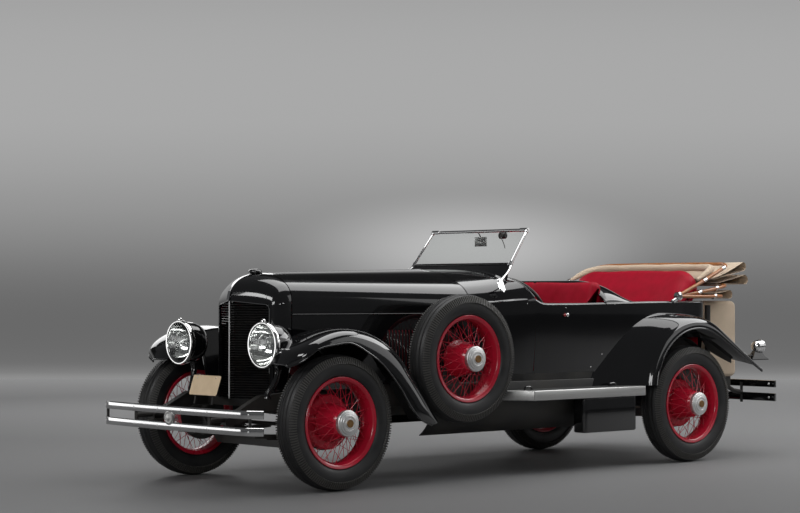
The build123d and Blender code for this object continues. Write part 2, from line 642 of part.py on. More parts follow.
# Radiator shell: domed outline, veed in plan, rolled back at the nose, open for the slats
with BuildPart() as radiator_shell:
    extrude(dome(0, SHELL_HALF_WIDTH, SHELL_SHOULDER, SHELL_TOP_Z, SHELL_BOTTOM_Z), amount=NOSE_X + 20)
    with BuildSketch(level(SHELL_BOTTOM_Z)):
        with BuildLine():
            slope = NOSE_DROP / GRILLE_HALF_WIDTH
            edge_x = NOSE_X + SLAT_RECESS - SHELL_HALF_WIDTH * slope
            Polyline((NOSE_X + SLAT_RECESS, 0), (edge_x, SHELL_HALF_WIDTH), (0, SHELL_HALF_WIDTH),
                     (0, -SHELL_HALF_WIDTH), (edge_x, -SHELL_HALF_WIDTH), close=True)
        make_face()
    extrude(amount=SHELL_TOP_Z, mode=Mode.INTERSECT)
    with BuildSketch(side(SHELL_HALF_WIDTH)):
        with BuildLine():
            front = NOSE_X + SLAT_RECESS
            Polyline((60, SHELL_TOP_Z), (0, SHELL_TOP_Z), (0, SHELL_BOTTOM_Z), (front, SHELL_BOTTOM_Z),
                     (front, GRILLE_TOP_Z + 40))
            ThreePointArc((front, GRILLE_TOP_Z + 40), (front - 62, SHELL_TOP_Z - 42), (60, SHELL_TOP_Z))
        make_face()
    extrude(amount=2 * SHELL_HALF_WIDTH, mode=Mode.INTERSECT)
    with BuildSketch(cross(0)):
        with Locations((0, (SHELL_BOTTOM_Z + GRILLE_TOP_Z) / 2)):
            RectangleRounded(2 * GRILLE_HALF_WIDTH, GRILLE_TOP_Z - SHELL_BOTTOM_Z - 2 * SHELL_RAIL, 60)
    extrude(amount=NOSE_X + 40, mode=Mode.SUBTRACT)
    with BuildSketch(Plane(origin=(FRONT_AXLE_X + CAP_X, 0, SHELL_TOP_Z - 30))):
        Circle(CAP_NECK)
    extrude(amount=50)

# Radiator slats: a veed panel grooved into thin level bars
with BuildPart() as radiator_slats:
    with BuildSketch(level(SHELL_BOTTOM_Z)):
        with BuildLine():
            reach = NOSE_X - GRILLE_HALF_WIDTH * slope
            Polyline((NOSE_X, 0), (reach, GRILLE_HALF_WIDTH), (reach - CORE, GRILLE_HALF_WIDTH), (NOSE_X - CORE, 0),
                     (reach - CORE, -GRILLE_HALF_WIDTH), (reach, -GRILLE_HALF_WIDTH), close=True)
        make_face()
    extrude(amount=GRILLE_TOP_Z - SHELL_BOTTOM_Z)
    with BuildSketch(cross(0)):
        with Locations((0, (SHELL_BOTTOM_Z + GRILLE_TOP_Z) / 2)):
            RectangleRounded(2 * GRILLE_HALF_WIDTH, GRILLE_TOP_Z - SHELL_BOTTOM_Z - 2 * SHELL_RAIL, 60)
    extrude(amount=NOSE_X + 40, mode=Mode.INTERSECT)
    slat_pitch = (GRILLE_TOP_Z - SHELL_BOTTOM_Z - 2 * SHELL_RAIL) / SLATS
    for slat in range(1, SLATS):
        with BuildSketch(level(SHELL_BOTTOM_Z + SHELL_RAIL + slat * slat_pitch - SLAT_GROOVE / 2)):
            with BuildLine():
                Polyline((NOSE_X + 1, 0), (reach + 1, GRILLE_HALF_WIDTH), (reach - SLAT_DEPTH, GRILLE_HALF_WIDTH),
                         (NOSE_X - SLAT_DEPTH, 0), (reach - SLAT_DEPTH, -GRILLE_HALF_WIDTH),
                         (reach + 1, -GRILLE_HALF_WIDTH), close=True)
            make_face()
        slat_groove = extrude(amount=SLAT_GROOVE, mode=Mode.PRIVATE)
        add(slat_groove, mode=Mode.SUBTRACT)


# Body wall: upright panels round the plan, from the cowl seam along the sides and across the back
with BuildPart() as body_wall:
    with BuildSketch(level(SILL_Z)) as body_plan:
        with BuildLine():
            flank = ThreePointArc((-HOOD_LENGTH, COWL_HALF_WIDTH), (-1720, 600), (-2150, 658))
            hip = TangentArc(flank @ 1, (-3250, 640), tangent=flank % 1)
            heading = degrees(atan2((hip % 1).Y, (hip % 1).X)) % 360
            corner = JernArc(hip @ 1, hip % 1, BACK_CORNER, 270 - heading)
            back = Line(corner @ 1, ((corner @ 1).X, 0))
            Polyline(back @ 1, (-HOOD_LENGTH, 0), (-HOOD_LENGTH, COWL_HALF_WIDTH))
        make_face()
        mirror(about=Plane.XZ)
    extrude(amount=COWL_TOP_Z - SILL_Z)
    with BuildSketch(level(SILL_Z)):
        add(body_plan.sketch_local)
        offset(amount=-BODY_WALL, mode=Mode.REPLACE)
        with Locations((-HOOD_LENGTH, 0)):
            Rectangle(4 * BODY_WALL, 2 * (COWL_HALF_WIDTH - BODY_WALL))
    extrude(amount=COWL_TOP_Z - SILL_Z, mode=Mode.SUBTRACT)

# Cowl: domed skin from the hood to the dash, cut to the slanted cockpit edge
with BuildPart() as cowl_block:
    loft([dome(-HOOD_LENGTH, COWL_HALF_WIDTH, REAR_SHOULDER, COWL_TOP_Z, SILL_Z),
          dome(COWL_END, COWL_END_HALF_WIDTH, REAR_SHOULDER, COWL_TOP_Z + 5, SILL_Z)], ruled=True)
with BuildPart() as cowl:
    add(cowl_block.part)
    loft([dome(-HOOD_LENGTH, COWL_HALF_WIDTH - COWL_WALL, REAR_SHOULDER - COWL_WALL, COWL_TOP_Z - COWL_WALL, 500),
          dome(COWL_END, COWL_END_HALF_WIDTH - COWL_WALL, REAR_SHOULDER - COWL_WALL, COWL_TOP_Z + 5 - COWL_WALL, 500)],
         ruled=True, mode=Mode.SUBTRACT)
    with BuildSketch(side(COWL_END_HALF_WIDTH)):
        with BuildLine():
            Polyline((-HOOD_LENGTH, CREASE_Z), (-HOOD_LENGTH, 1400), (COWL_EDGE_TOP, 1400), (COWL_EDGE_TOP, COWL_TOP_Z),
                     (COWL_END, BELT_Z + 20), (COWL_END, CREASE_Z), close=True)
        make_face()
    extrude(amount=2 * COWL_END_HALF_WIDTH, mode=Mode.INTERSECT)
    with BuildSketch(HINGE_PLANE.offset(RUNNING_CLEARANCE)):
        Circle(HINGE_ROD_RADIUS)
    extrude(amount=HOOD_LENGTH)

# Body sides: the wall from the hood seam to the rear seam, cut to the cockpit edges and the wheel arch
with BuildPart() as body_sides:
    add(body_wall.part)
    with BuildSketch(side(SIDE_REACH)):
        with BuildLine():
            Polyline((BACK_SEAM, REAR_BELT_Z), (BACK_SEAM, RAIL_TOP_Z), (0, RAIL_TOP_Z), (0, CREASE_Z),
                     (COWL_END, CREASE_Z), (COWL_END, BELT_Z + 20))
            FilletPolyline((COWL_END, BELT_Z + 20), (COWL_END - 20, BELT_Z), (-2280, BELT_Z), (-2390, HUMP_Z),
                           (-2460, HUMP_Z), (-2700, REAR_BELT_Z), (BACK_SEAM, REAR_BELT_Z), radius=18)
        make_face()
    extrude(amount=SIDE_REACH, mode=Mode.INTERSECT)
    with BuildSketch(side(SIDE_REACH)):
        with Locations((REAR_AXLE, TYRE_RADIUS)):
            Circle(ARCH_RADIUS)
    extrude(amount=SIDE_REACH, mode=Mode.SUBTRACT)
    mirror(about=Plane.XZ)

# Body back: the wall round the tail, open over the wheels
with BuildPart() as body_back:
    add(body_wall.part)
    with BuildSketch(side(SIDE_REACH)):
        with Locations(((BACK_SEAM + TAIL_X) / 2, (SEAT_PAN_Z + REAR_BELT_Z) / 2)):
            Rectangle(BACK_SEAM - TAIL_X, REAR_BELT_Z - SEAT_PAN_Z)
    extrude(amount=2 * SIDE_REACH, mode=Mode.INTERSECT)
    for arch_y in (SIDE_REACH, -ARCH_INNER_Y):
        with BuildSketch(side(arch_y)):
            with Locations((REAR_AXLE, TYRE_RADIUS)):
                Circle(ARCH_RADIUS)
        extrude(amount=SIDE_REACH - ARCH_INNER_Y, mode=Mode.SUBTRACT)

# Floor: a slab on the rails with a step up to the rear seat pan
with BuildPart() as floor:
    with BuildSketch(level(RAIL_TOP_Z)):
        with BuildLine():
            half_plan = [(-HOOD_LENGTH, 480), (-1720, 580), (-2150, 635), (-2690, 638)]
            Polyline(*half_plan, *[(px, -py) for px, py in reversed(half_plan)], close=True)
        make_face()
    extrude(amount=SILL_Z - RAIL_TOP_Z)
    with BuildSketch(side(ARCH_INNER_Y)):
        with BuildLine():
            Polyline((-2660, RAIL_TOP_Z), (-2690, RAIL_TOP_Z), (-2868, KICK_TOP_Z), (PAN_END, KICK_TOP_Z),
                     (PAN_END, SEAT_PAN_Z), (-2850, SEAT_PAN_Z), (-2660, SILL_Z), close=True)
        make_face()
    extrude(amount=2 * ARCH_INNER_Y)

# Bulkhead behind the front seat, between the body sides, with a crest that rolls over to the rear
with BuildPart() as bulkhead:
    with BuildSketch(side(CABIN_HALF_WIDTH)):
        with BuildLine():
            back = BULKHEAD_X - BULKHEAD
            crest = HUMP_Z + CREST_RISE
            Polyline((back, crest - CREST), (back, SILL_Z), (BULKHEAD_X, SILL_Z), (BULKHEAD_X, crest - CREST / 2))
            Polyline((back, crest - CREST), (-2505, 1195), (-2525, 1172), (-2545, 1180))
            Spline((-2545, 1180), (-2515, 1216), (-2475, crest), (BULKHEAD_X, crest - CREST / 2))
        make_face()
    extrude(amount=2 * CABIN_HALF_WIDTH)

# Front seat: cushion and leaning back across the cabin
with BuildPart() as front_seat:
    with BuildSketch(side(SEAT_HALF_WIDTH)):
        with BuildLine():
            FilletPolyline((-1990, SILL_Z), (-1960, 870), (-2255, 835), (-2330, 1215), (-2436, 1215),
                           (-2436, SILL_Z), radius=28, close=True)
        make_face()
    extrude(amount=2 * SEAT_HALF_WIDTH)

# Rear seat: a taller back on the raised pan
with BuildPart() as rear_seat:
    with BuildSketch(side(REAR_SEAT_HALF_WIDTH)):
        with BuildLine():
            pan = SEAT_PAN_Z
            FilletPolyline((-2870, pan), (-2845, 915), (-3150, 880), (-3300, 1335), (-3440, 1335),
                           (-3390, 1110), (-3300, pan), radius=30, close=True)
        make_face()
    extrude(amount=2 * REAR_SEAT_HALF_WIDTH)

# Instrument panel: a board that fills the upper cowl, cut level along its foot
with BuildPart() as instrument_panel:
    along = (DASH_X + HOOD_LENGTH) / (COWL_END + HOOD_LENGTH)
    inset = COWL_WALL + RUNNING_CLEARANCE
    extrude(dome(DASH_X, COWL_HALF_WIDTH + along * (COWL_END_HALF_WIDTH - COWL_HALF_WIDTH) - inset, REAR_SHOULDER - inset,
                 COWL_TOP_Z + 5 * along - inset, SILL_Z), amount=-DASH)
    with BuildSketch(cross(DASH_X - DASH)):
        with Locations((0, (DASH_FOOT_Z + COWL_TOP_Z) / 2)):
            Rectangle(2 * DASH_HALF_WIDTH, COWL_TOP_Z - DASH_FOOT_Z)
    extrude(amount=DASH, mode=Mode.INTERSECT)

# Steering column: from the floor up through the panel, tilted
COLUMN_TOP = Vector(FRONT_AXLE_X + STEERING_X, STEERING_Y, STEERING_Z)
COLUMN_AXIS = Vector(-cos(radians(COLUMN_TILT)), 0, sin(radians(COLUMN_TILT)))
with BuildPart() as steering_column:
    with BuildSketch(Plane(origin=COLUMN_TOP - COLUMN_AXIS * 30, z_dir=-COLUMN_AXIS)):
        Circle(COLUMN_RADIUS)
    extrude(amount=COLUMN_LENGTH)
    with BuildSketch(Plane(origin=COLUMN_TOP - COLUMN_AXIS * 31, z_dir=COLUMN_AXIS)):
        Circle(STEERING_PIN)
    extrude(amount=50)
    add(floor.part, mode=Mode.SUBTRACT)
    add(frame_rails.part, mode=Mode.SUBTRACT)
    add(steering_column.part.solids().sort_by(SortBy.VOLUME)[-1], mode=Mode.REPLACE)

# Steering wheel: a ring on four flat spokes round the column's pin
with BuildPart() as steering_wheel:
    wheel_plane = Plane(origin=COLUMN_TOP, x_dir=(0, 1, 0), z_dir=COLUMN_AXIS)
    with BuildSketch(Plane(origin=COLUMN_TOP, x_dir=(0, 1, 0), z_dir=COLUMN_AXIS.cross(Vector(0, 1, 0)))):
        with Locations((STEERING_RADIUS, 0)):
            Circle(STEERING_RIM)
    revolve(axis=Axis(COLUMN_TOP, COLUMN_AXIS))
    with BuildSketch(wheel_plane):
        for turn in (45, 135):
            Rectangle(2 * STEERING_RADIUS, STEERING_SPOKE, rotation=turn)
        Circle(STEERING_HUB)
    extrude(amount=5, both=True)
    with BuildSketch(wheel_plane):
        Circle(STEERING_HUB)
    extrude(amount=22, both=True)
    with BuildSketch(wheel_plane.offset(-25)):
        Circle(STEERING_PIN + RUNNING_CLEARANCE)
    extrude(amount=46, mode=Mode.SUBTRACT)

# Windshield: a raked frame on two side stanchions that stand on the cowl
SCREEN = Plane(origin=(FRONT_AXLE_X + SCREEN_X, 0, SCREEN_Z), x_dir=(0, 1, 0),
               z_dir=(cos(radians(RAKE)), 0, sin(radians(RAKE))))
with BuildPart() as windshield_frame:
    with BuildSketch(SCREEN):
        with Locations((0, SCREEN_HEIGHT / 2)):
            Trapezoid(2 * SCREEN_HALF_WIDTH, SCREEN_HEIGHT, SCREEN_TAPER)
            Trapezoid(2 * (SCREEN_HALF_WIDTH - SCREEN_BAR), SCREEN_HEIGHT - 2 * SCREEN_BAR, SCREEN_TAPER, mode=Mode.SUBTRACT)
    extrude(amount=SCREEN_BAR / 2, both=True)
    with BuildSketch(side(SCREEN_HALF_WIDTH - 8)):
        with BuildLine():
            Polyline((SCREEN_X, SCREEN_Z + 10), (SCREEN_X - 15, SCREEN_Z - 15), (-1620, 1130), (-1520, 1130),
                     (-1560, 1270), close=True)
        make_face()
    extrude(amount=14)
    mirror(about=Plane.XZ)
    add(cowl_block.part, mode=Mode.SUBTRACT)

with BuildPart() as windshield_glass:
    with BuildSketch(SCREEN):
        with Locations((0, SCREEN_HEIGHT / 2)):
            Trapezoid(2 * (SCREEN_HALF_WIDTH - SCREEN_BAR), SCREEN_HEIGHT - 2 * SCREEN_BAR, SCREEN_TAPER)
    extrude(amount=3, both=True)

# Front fenders: a crowned arch over the wheel, a straight tail and an inner panel down to the rail
FENDER_AXIS = Axis((FRONT_AXLE_X + FENDER_X, 0, FENDER_Z), (0, -1, 0))


def fender_profile(angle):
    """Crowned section of the front fender on the plane through its axis at an angle from forward."""
    radial = Vector(cos(radians(angle)), 0, sin(radians(angle)))
    plane = Plane(origin=(FRONT_AXLE_X + FENDER_X, 0, FENDER_Z), x_dir=radial, z_dir=radial.cross(Vector(0, 1, 0)))
    with BuildSketch(plane) as profile:
        with BuildLine():
            crown = FENDER_RADIUS
            sheet = FENDER_SHEET
            ThreePointArc((crown - 14, FENDER_INNER_Y), (crown, 660), (crown - 88, FENDER_OUTER_Y))
            Line((crown - 88, FENDER_OUTER_Y), (crown - 88 - sheet, FENDER_OUTER_Y - 2))
            ThreePointArc((crown - 88 - sheet, FENDER_OUTER_Y - 2), (crown - sheet, 660),
                          (crown - 14 - sheet, FENDER_INNER_Y))
            Line((crown - 14 - sheet, FENDER_INNER_Y), (crown - 14, FENDER_INNER_Y))
        make_face()
    return profile.sketch


with BuildPart() as front_fenders:
    revolve(fender_profile(FENDER_FRONT_ANGLE), axis=FENDER_AXIS, revolution_arc=FENDER_TAIL_ANGLE - FENDER_FRONT_ANGLE)
    extrude(fender_profile(FENDER_TAIL_ANGLE), amount=FENDER_TAIL)
    with BuildSketch(cross(-580)):
        with BuildLine():
            Polyline((FENDER_INNER_Y, FENDER_Z + FENDER_RADIUS), (FENDER_INNER_Y, 775), (425, 690), (RAIL_Y + 25, 590),
                     (RAIL_Y + 25, 582), (431, 686), (FENDER_INNER_Y + 5, 772),
                     (FENDER_INNER_Y + 5, FENDER_Z + FENDER_RADIUS), close=True)
        make_face()
    inner_panel = extrude(amount=680, mode=Mode.PRIVATE)
    with BuildSketch(side(FENDER_OUTER_Y)):
        with Locations((FENDER_X, FENDER_Z)):
            Circle(FENDER_RADIUS - 12)
    arch_disc = extrude(amount=FENDER_OUTER_Y, mode=Mode.PRIVATE)
    add(inner_panel & arch_disc)
    with BuildSketch(side(SPARE_Y + TYRE_HALF_WIDTH + WELL_CLEARANCE)):
        with Locations((SPARE_X, SPARE_Z)):
            Circle(TYRE_RADIUS + WELL_CLEARANCE)
    extrude(amount=2 * (TYRE_HALF_WIDTH + WELL_CLEARANCE), mode=Mode.SUBTRACT)
    with BuildSketch(level(FENDER_Z)):
        with BuildLine():
            Polyline((-40, 480), (-40, FENDER_INNER_Y), (110, LAMP_EDGE_Y), (500, LAMP_EDGE_Y + 25), (500, 480), close=True)
        make_face()
    extrude(amount=FENDER_RADIUS + 50, mode=Mode.SUBTRACT)
    mirror(about=Plane.XZ)

# Rear fender sections across the car: offset, arch centre along and up, radius, tail end along and up
REAR_FENDER_SECTIONS = ((625, -2945, 310, 730, -3790, 700), (735, -3110, 440, 588, -3840, 672),
                        (800, -3172, 498, 506, -3870, 650), (832, -3178, 492, 478, -3872, 630))


def rear_fender_section(offset_y, arch_x, arch_z, radius, tail_x, tail_z):
    """Thin band over the rear wheel at one offset: an arch from the board, then a tail to its tip."""
    def edge(reach):
        foot = asin((BOARD_TOP_Z - arch_z) / reach)
        span = hypot(tail_x - arch_x, tail_z - arch_z)
        toward = atan2(tail_z - arch_z, tail_x - arch_x) % (2 * pi)
        leave = toward - acos(radius / span)
        middle = (foot + leave) / 2
        drop = Vector(reach - radius, 0).rotate(Axis.Z, degrees(leave))
        points = [(arch_x + reach * cos(angle), arch_z + reach * sin(angle)) for angle in (foot, middle, leave)]
        return points, (tail_x + drop.X, tail_z + drop.Y)

    outer, outer_tip = edge(radius)
    inner, inner_tip = edge(radius - FENDER_SHEET)
    with BuildSketch(side(offset_y)) as band:
        with BuildLine():
            ThreePointArc(*outer)
            Polyline(outer[2], outer_tip, inner_tip, inner[2])
            ThreePointArc(*reversed(inner))
            Line(inner[0], outer[0])
        make_face()
    return band.sketch


# Running boards: thick edged planks beside the sills, with a slanted front corner
with BuildPart() as running_boards:
    with BuildSketch(level(BOARD_TOP_Z - BOARD)):
        with BuildLine():
            Polyline((BOARD_FRONT, BOARD_INNER_Y), (BOARD_FRONT - 120, BOARD_OUTER_Y), (BOARD_REAR, BOARD_OUTER_Y),
                     (BOARD_REAR, BOARD_INNER_Y), close=True)
        make_face()
    extrude(amount=BOARD)
    mirror(about=Plane.XZ)

# Side aprons: a shelf from the rail, an upright behind the board and a lower sheet that turns inward
with BuildPart() as side_aprons:
    with BuildSketch(cross(APRON_REAR)):
        with BuildLine():
            outer = BOARD_INNER_Y
            sheet = APRON_SHEET
            Polyline((RAIL_Y + RAIL_WIDTH / 2, RAIL_TOP_Z - sheet), (RAIL_Y + RAIL_WIDTH / 2, RAIL_TOP_Z),
                     (outer, RAIL_TOP_Z), (outer, APRON_TURN_Z))
            ThreePointArc((outer, APRON_TURN_Z), (outer - 38, APRON_TURN_Z - 120), (outer - 120, APRON_BOTTOM_Z))
            Line((outer - 120, APRON_BOTTOM_Z), (outer - 120 - sheet, APRON_BOTTOM_Z + sheet))
            ThreePointArc((outer - 120 - sheet, APRON_BOTTOM_Z + sheet), (outer - 38 - sheet, APRON_TURN_Z - 118),
                          (outer - sheet, APRON_TURN_Z))
            Polyline((outer - sheet, APRON_TURN_Z), (outer - sheet, RAIL_TOP_Z - sheet),
                     (RAIL_Y + RAIL_WIDTH / 2, RAIL_TOP_Z - sheet))
        make_face()
    extrude(amount=APRON_FRONT - APRON_REAR)
    mirror(about=Plane.XZ)

# Rear fenders: arches lofted outward from the body side, with an inner wheel house
with BuildPart() as rear_fenders:
    loft([rear_fender_section(*section) for section in REAR_FENDER_SECTIONS])
    for neighbour in (body_wall, floor, side_aprons):
        add(neighbour.part, mode=Mode.SUBTRACT)
    fender_skins = rear_fenders.part.solids().sort_by(Axis.Y)
    add(fender_skins[-1], mode=Mode.REPLACE)
    mirror(about=Plane.XZ)

# Wheel houses: an arched band and a side disc between the cabin and each rear tyre
with BuildPart() as wheel_houses:
    with BuildSketch(side(HOUSE_OUTER_Y)):
        with Locations((REAR_AXLE, TYRE_RADIUS)):
            Circle(ARCH_RADIUS - RUNNING_CLEARANCE)
            Circle(ARCH_RADIUS - FENDER_SHEET, mode=Mode.SUBTRACT)
    extrude(amount=HOUSE_OUTER_Y - ARCH_INNER_Y)
    with BuildSketch(side(ARCH_INNER_Y + FENDER_SHEET)):
        with Locations((REAR_AXLE, TYRE_RADIUS)):
            Circle(ARCH_RADIUS - RUNNING_CLEARANCE)
    extrude(amount=FENDER_SHEET)
    split(bisect_by=Plane.XY.offset(HOUSE_FOOT_Z), keep=Keep.TOP)
    mirror(about=Plane.XZ)

# Boxes hung under the rear of the boards
with BuildPart() as board_boxes:
    with BuildSketch(side(BOX_OUTER_Y)):
        with Locations(((BOX_FRONT + BOX_REAR) / 2, (BOX_BOTTOM_Z + BOARD_TOP_Z - BOARD) / 2)):
            Rectangle(BOX_FRONT - BOX_REAR, BOARD_TOP_Z - BOARD - BOX_BOTTOM_Z)
    extrude(amount=BOX_OUTER_Y - BOARD_INNER_Y)
    fillet(board_boxes.edges().filter_by(Axis.Z), 30)
    mirror(about=Plane.XZ)

# Spare wheel posts: an upright on the apron shelf with a stub through the hub
with BuildPart() as spare_posts:
    with BuildSketch(side(POST_Y)):
        with BuildLine():
            Polyline((SPARE_X - 60, RAIL_TOP_Z), (SPARE_X + 60, RAIL_TOP_Z), (SPARE_X + 34, SPARE_Z),
                     (SPARE_X - 34, SPARE_Z), close=True)
        make_face()
        with Locations((SPARE_X, SPARE_Z)):
            Circle(48)
    extrude(amount=POST)
    with BuildSketch(side(SPARE_Y + HUB_NOSE)):
        with Locations((SPARE_X, SPARE_Z)):
            Circle(SPINDLE_RADIUS)
    extrude(amount=SPARE_Y + HUB_NOSE - POST_Y + POST)
    mirror(about=Plane.XZ)

# Headlamps: deep bowls with a rolled rim, each on a post from the rail
LAMP_AXIS = Axis((FRONT_AXLE_X, LAMP_Y, LAMP_Z), (1, 0, 0))
with BuildPart() as headlamps:
    with BuildSketch(Plane(origin=(FRONT_AXLE_X, LAMP_Y, LAMP_Z), x_dir=(1, 0, 0), z_dir=(0, -1, 0))):
        with BuildLine():
            back = LAMP_X - LAMP_DEPTH
            Polyline((LAMP_X - 30, LAMP_RADIUS), (LAMP_X, LAMP_RADIUS), (LAMP_X + 6, LAMP_RADIUS - 8),
                     (LAMP_X, LAMP_RADIUS - 12), (LAMP_X - 26, LAMP_RADIUS - 12))
            inner_cap = CenterArc((back + LAMP_CAP, 0), LAMP_CAP - LAMP_SHEET, 180, -60)
            TangentArc(inner_cap @ 1, (LAMP_X - 26, LAMP_RADIUS - 12), tangent=inner_cap % 1)
            outer_cap = CenterArc((back + LAMP_CAP, 0), LAMP_CAP, 180, -60)
            TangentArc(outer_cap @ 1, (LAMP_X - 30, LAMP_RADIUS), tangent=outer_cap % 1)
            Line(inner_cap @ 0, outer_cap @ 0)
        make_face()
    revolve(axis=LAMP_AXIS)
    with BuildSketch(level(LAMP_Z - LAMP_RADIUS + 10)):
        with Locations((LAMP_X - 75, LAMP_Y)):
            Circle(24)
    with BuildSketch(level(RAIL_TOP_Z - 80)):
        with Locations((LAMP_X - 115, RAIL_Y)):
            Circle(17)
    loft(ruled=True)
    add(frame_rails.part, mode=Mode.SUBTRACT)
    add(headlamps.part.solids().sort_by(SortBy.VOLUME)[-1], mode=Mode.REPLACE)
    mirror(about=Plane.XZ)

with BuildPart() as headlamp_lenses:
    with BuildSketch(Plane(origin=(FRONT_AXLE_X, LAMP_Y, LAMP_Z), x_dir=(1, 0, 0), z_dir=(0, -1, 0))):
        with BuildLine():
            lens = LAMP_RADIUS - 12 - BEAD_GAP
            sphere = (lens ** 2 + LENS_RISE ** 2) / (2 * LENS_RISE)
            face = CenterArc((LAMP_X - 8 + LENS_RISE - sphere, 0), sphere, 0, degrees(asin(lens / sphere)))
            Polyline(face @ 1, (LAMP_X - 18, lens), (LAMP_X - 18, 0), face @ 0)
        make_face()
    revolve(axis=LAMP_AXIS)
    mirror(about=Plane.XZ)


def bumper_bars(front, half_width, bend, heights):
    """Two flat bars bowed in plan with swept-back ends, drawn with the bow toward +X at front."""
    with BuildPart() as bars:
        for bar_z in heights:
            with BuildSketch(Plane(origin=(FRONT_AXLE_X, 0, bar_z - BAR_HEIGHT / 2))):
                with BuildLine():
                    for shift in (0, -BAR):
                        ThreePointArc((front - 30 + shift, bend), (front + shift, 0), (front - 30 + shift, -bend))
                    for flank in (1, -1):
                        Polyline((front - 30, flank * bend), (front - 75, flank * half_width),
                                 (front - 75 - BAR, flank * half_width), (front - 30 - BAR, flank * bend))
                make_face()
            extrude(amount=BAR_HEIGHT)
    return bars.part


# Front bumper: two bars, arms to the spring horns and a round boss between the bars
with BuildPart() as front_bumper:
    add(bumper_bars(FRONT_OVERHANG - BOSS_FACE, FRONT_BUMPER_HALF_WIDTH, 730, FRONT_BAR_HEIGHTS))
    with BuildSketch(side(RAIL_Y + RAIL_WIDTH / 2)):
        with Locations(((HORN_X + FRONT_OVERHANG - BOSS_FACE - 15) / 2, HORN_BOTTOM_Z + 18)):
            Rectangle(FRONT_OVERHANG - BOSS_FACE - 15 - HORN_X, 30)
        with Locations((FRONT_OVERHANG - BOSS_FACE - 24, sum(FRONT_BAR_HEIGHTS) / 2)):
            Rectangle(14, FRONT_BAR_HEIGHTS[0] - FRONT_BAR_HEIGHTS[1] + BAR_HEIGHT)
    extrude(amount=RAIL_WIDTH)
    mirror(about=Plane.XZ)
    with BuildSketch(cross(FRONT_OVERHANG - BOSS_FACE - BAR)):
        with Locations((0, sum(FRONT_BAR_HEIGHTS) / 2)):
            Circle(BOSS_RADIUS_BUMPER)
    extrude(amount=BAR + BOSS_FACE)

# Rear bumper: the same bars turned about, on arms from the rail tails
with BuildPart() as rear_bumper:
    rear_bars = bumper_bars(-REAR_AXLE + REAR_OVERHANG, REAR_BUMPER_HALF_WIDTH, 600, REAR_BAR_HEIGHTS)
    mirror(rear_bars, about=Plane.YZ.offset(FRONT_AXLE_X))
    with BuildSketch(side(RAIL_Y + RAIL_WIDTH / 2)):
        with Locations(((TAIL_X + REAR_AXLE - REAR_OVERHANG + 20) / 2, TAIL_BOTTOM_Z + 15)):
            Rectangle(TAIL_X - REAR_AXLE + REAR_OVERHANG - 20, 30)
        with Locations((REAR_AXLE - REAR_OVERHANG + 24, sum(REAR_BAR_HEIGHTS) / 2)):
            Rectangle(14, REAR_BAR_HEIGHTS[0] - REAR_BAR_HEIGHTS[1] + BAR_HEIGHT)
    extrude(amount=RAIL_WIDTH)
    mirror(about=Plane.XZ)

# Tail lamps: drums on brackets from the rear fender tails
with BuildPart() as tail_lamps:
    with BuildSketch(cross(TAIL_LAMP_X)):
        with Locations((TAIL_LAMP_Y, TAIL_LAMP_Z)):
            Circle(TAIL_LAMP_RADIUS)
    extrude(amount=80)
    with BuildSketch(level(TAIL_LAMP_Z - 100)):
        with Locations((TAIL_LAMP_X + 40, TAIL_LAMP_Y)):
            Rectangle(90, 60)
    with BuildSketch(level(TAIL_LAMP_Z - TAIL_LAMP_RADIUS + 8)):
        with Locations((TAIL_LAMP_X + 40, TAIL_LAMP_Y)):
            Rectangle(50, 36)
    loft(ruled=True)
    with BuildSketch(side(TAIL_LAMP_Y + 14)):
        with BuildLine():
            Polyline((TAIL_LAMP_X + 10, TAIL_LAMP_Z - 88), (TAIL_LAMP_X + 10, TAIL_LAMP_Z - 106), (-3760, 695),
                     (-3760, 740), (TAIL_LAMP_X + 80, TAIL_LAMP_Z - 88), close=True)
        make_face()
    extrude(amount=28)
    add(rear_fenders.part, mode=Mode.SUBTRACT)
    add(tail_lamps.part.solids().sort_by(SortBy.VOLUME)[-1], mode=Mode.REPLACE)
    mirror(about=Plane.XZ)

# Number plate: a bare plate with two holes, on two posts from the front cross member
with BuildPart() as number_plate:
    plate = Plane(origin=(FRONT_AXLE_X + PLATE_X, 0, PLATE_Z), x_dir=(0, 1, 0),
                  z_dir=(cos(radians(PLATE_LEAN)), 0, sin(radians(PLATE_LEAN))))
    with BuildSketch(plate):
        RectangleRounded(PLATE_WIDTH, PLATE_HEIGHT, 12)
        with Locations((PLATE_BOLTS / 2, PLATE_HEIGHT / 2 - 22), (-PLATE_BOLTS / 2, PLATE_HEIGHT / 2 - 22)):
            Circle(PLATE_HOLE, mode=Mode.SUBTRACT)
    extrude(amount=PLATE)
    with BuildSketch(side(PLATE_BOLTS / 2 + 24)):
        with BuildLine():
            Polyline((125, 480), (125, 500), (270, 505), (PLATE_X + 13, PLATE_Z - 30), (PLATE_X + 15, PLATE_Z - 52),
                     (280, 485), close=True)
        make_face()
    extrude(amount=12)
    mirror(about=Plane.XZ)

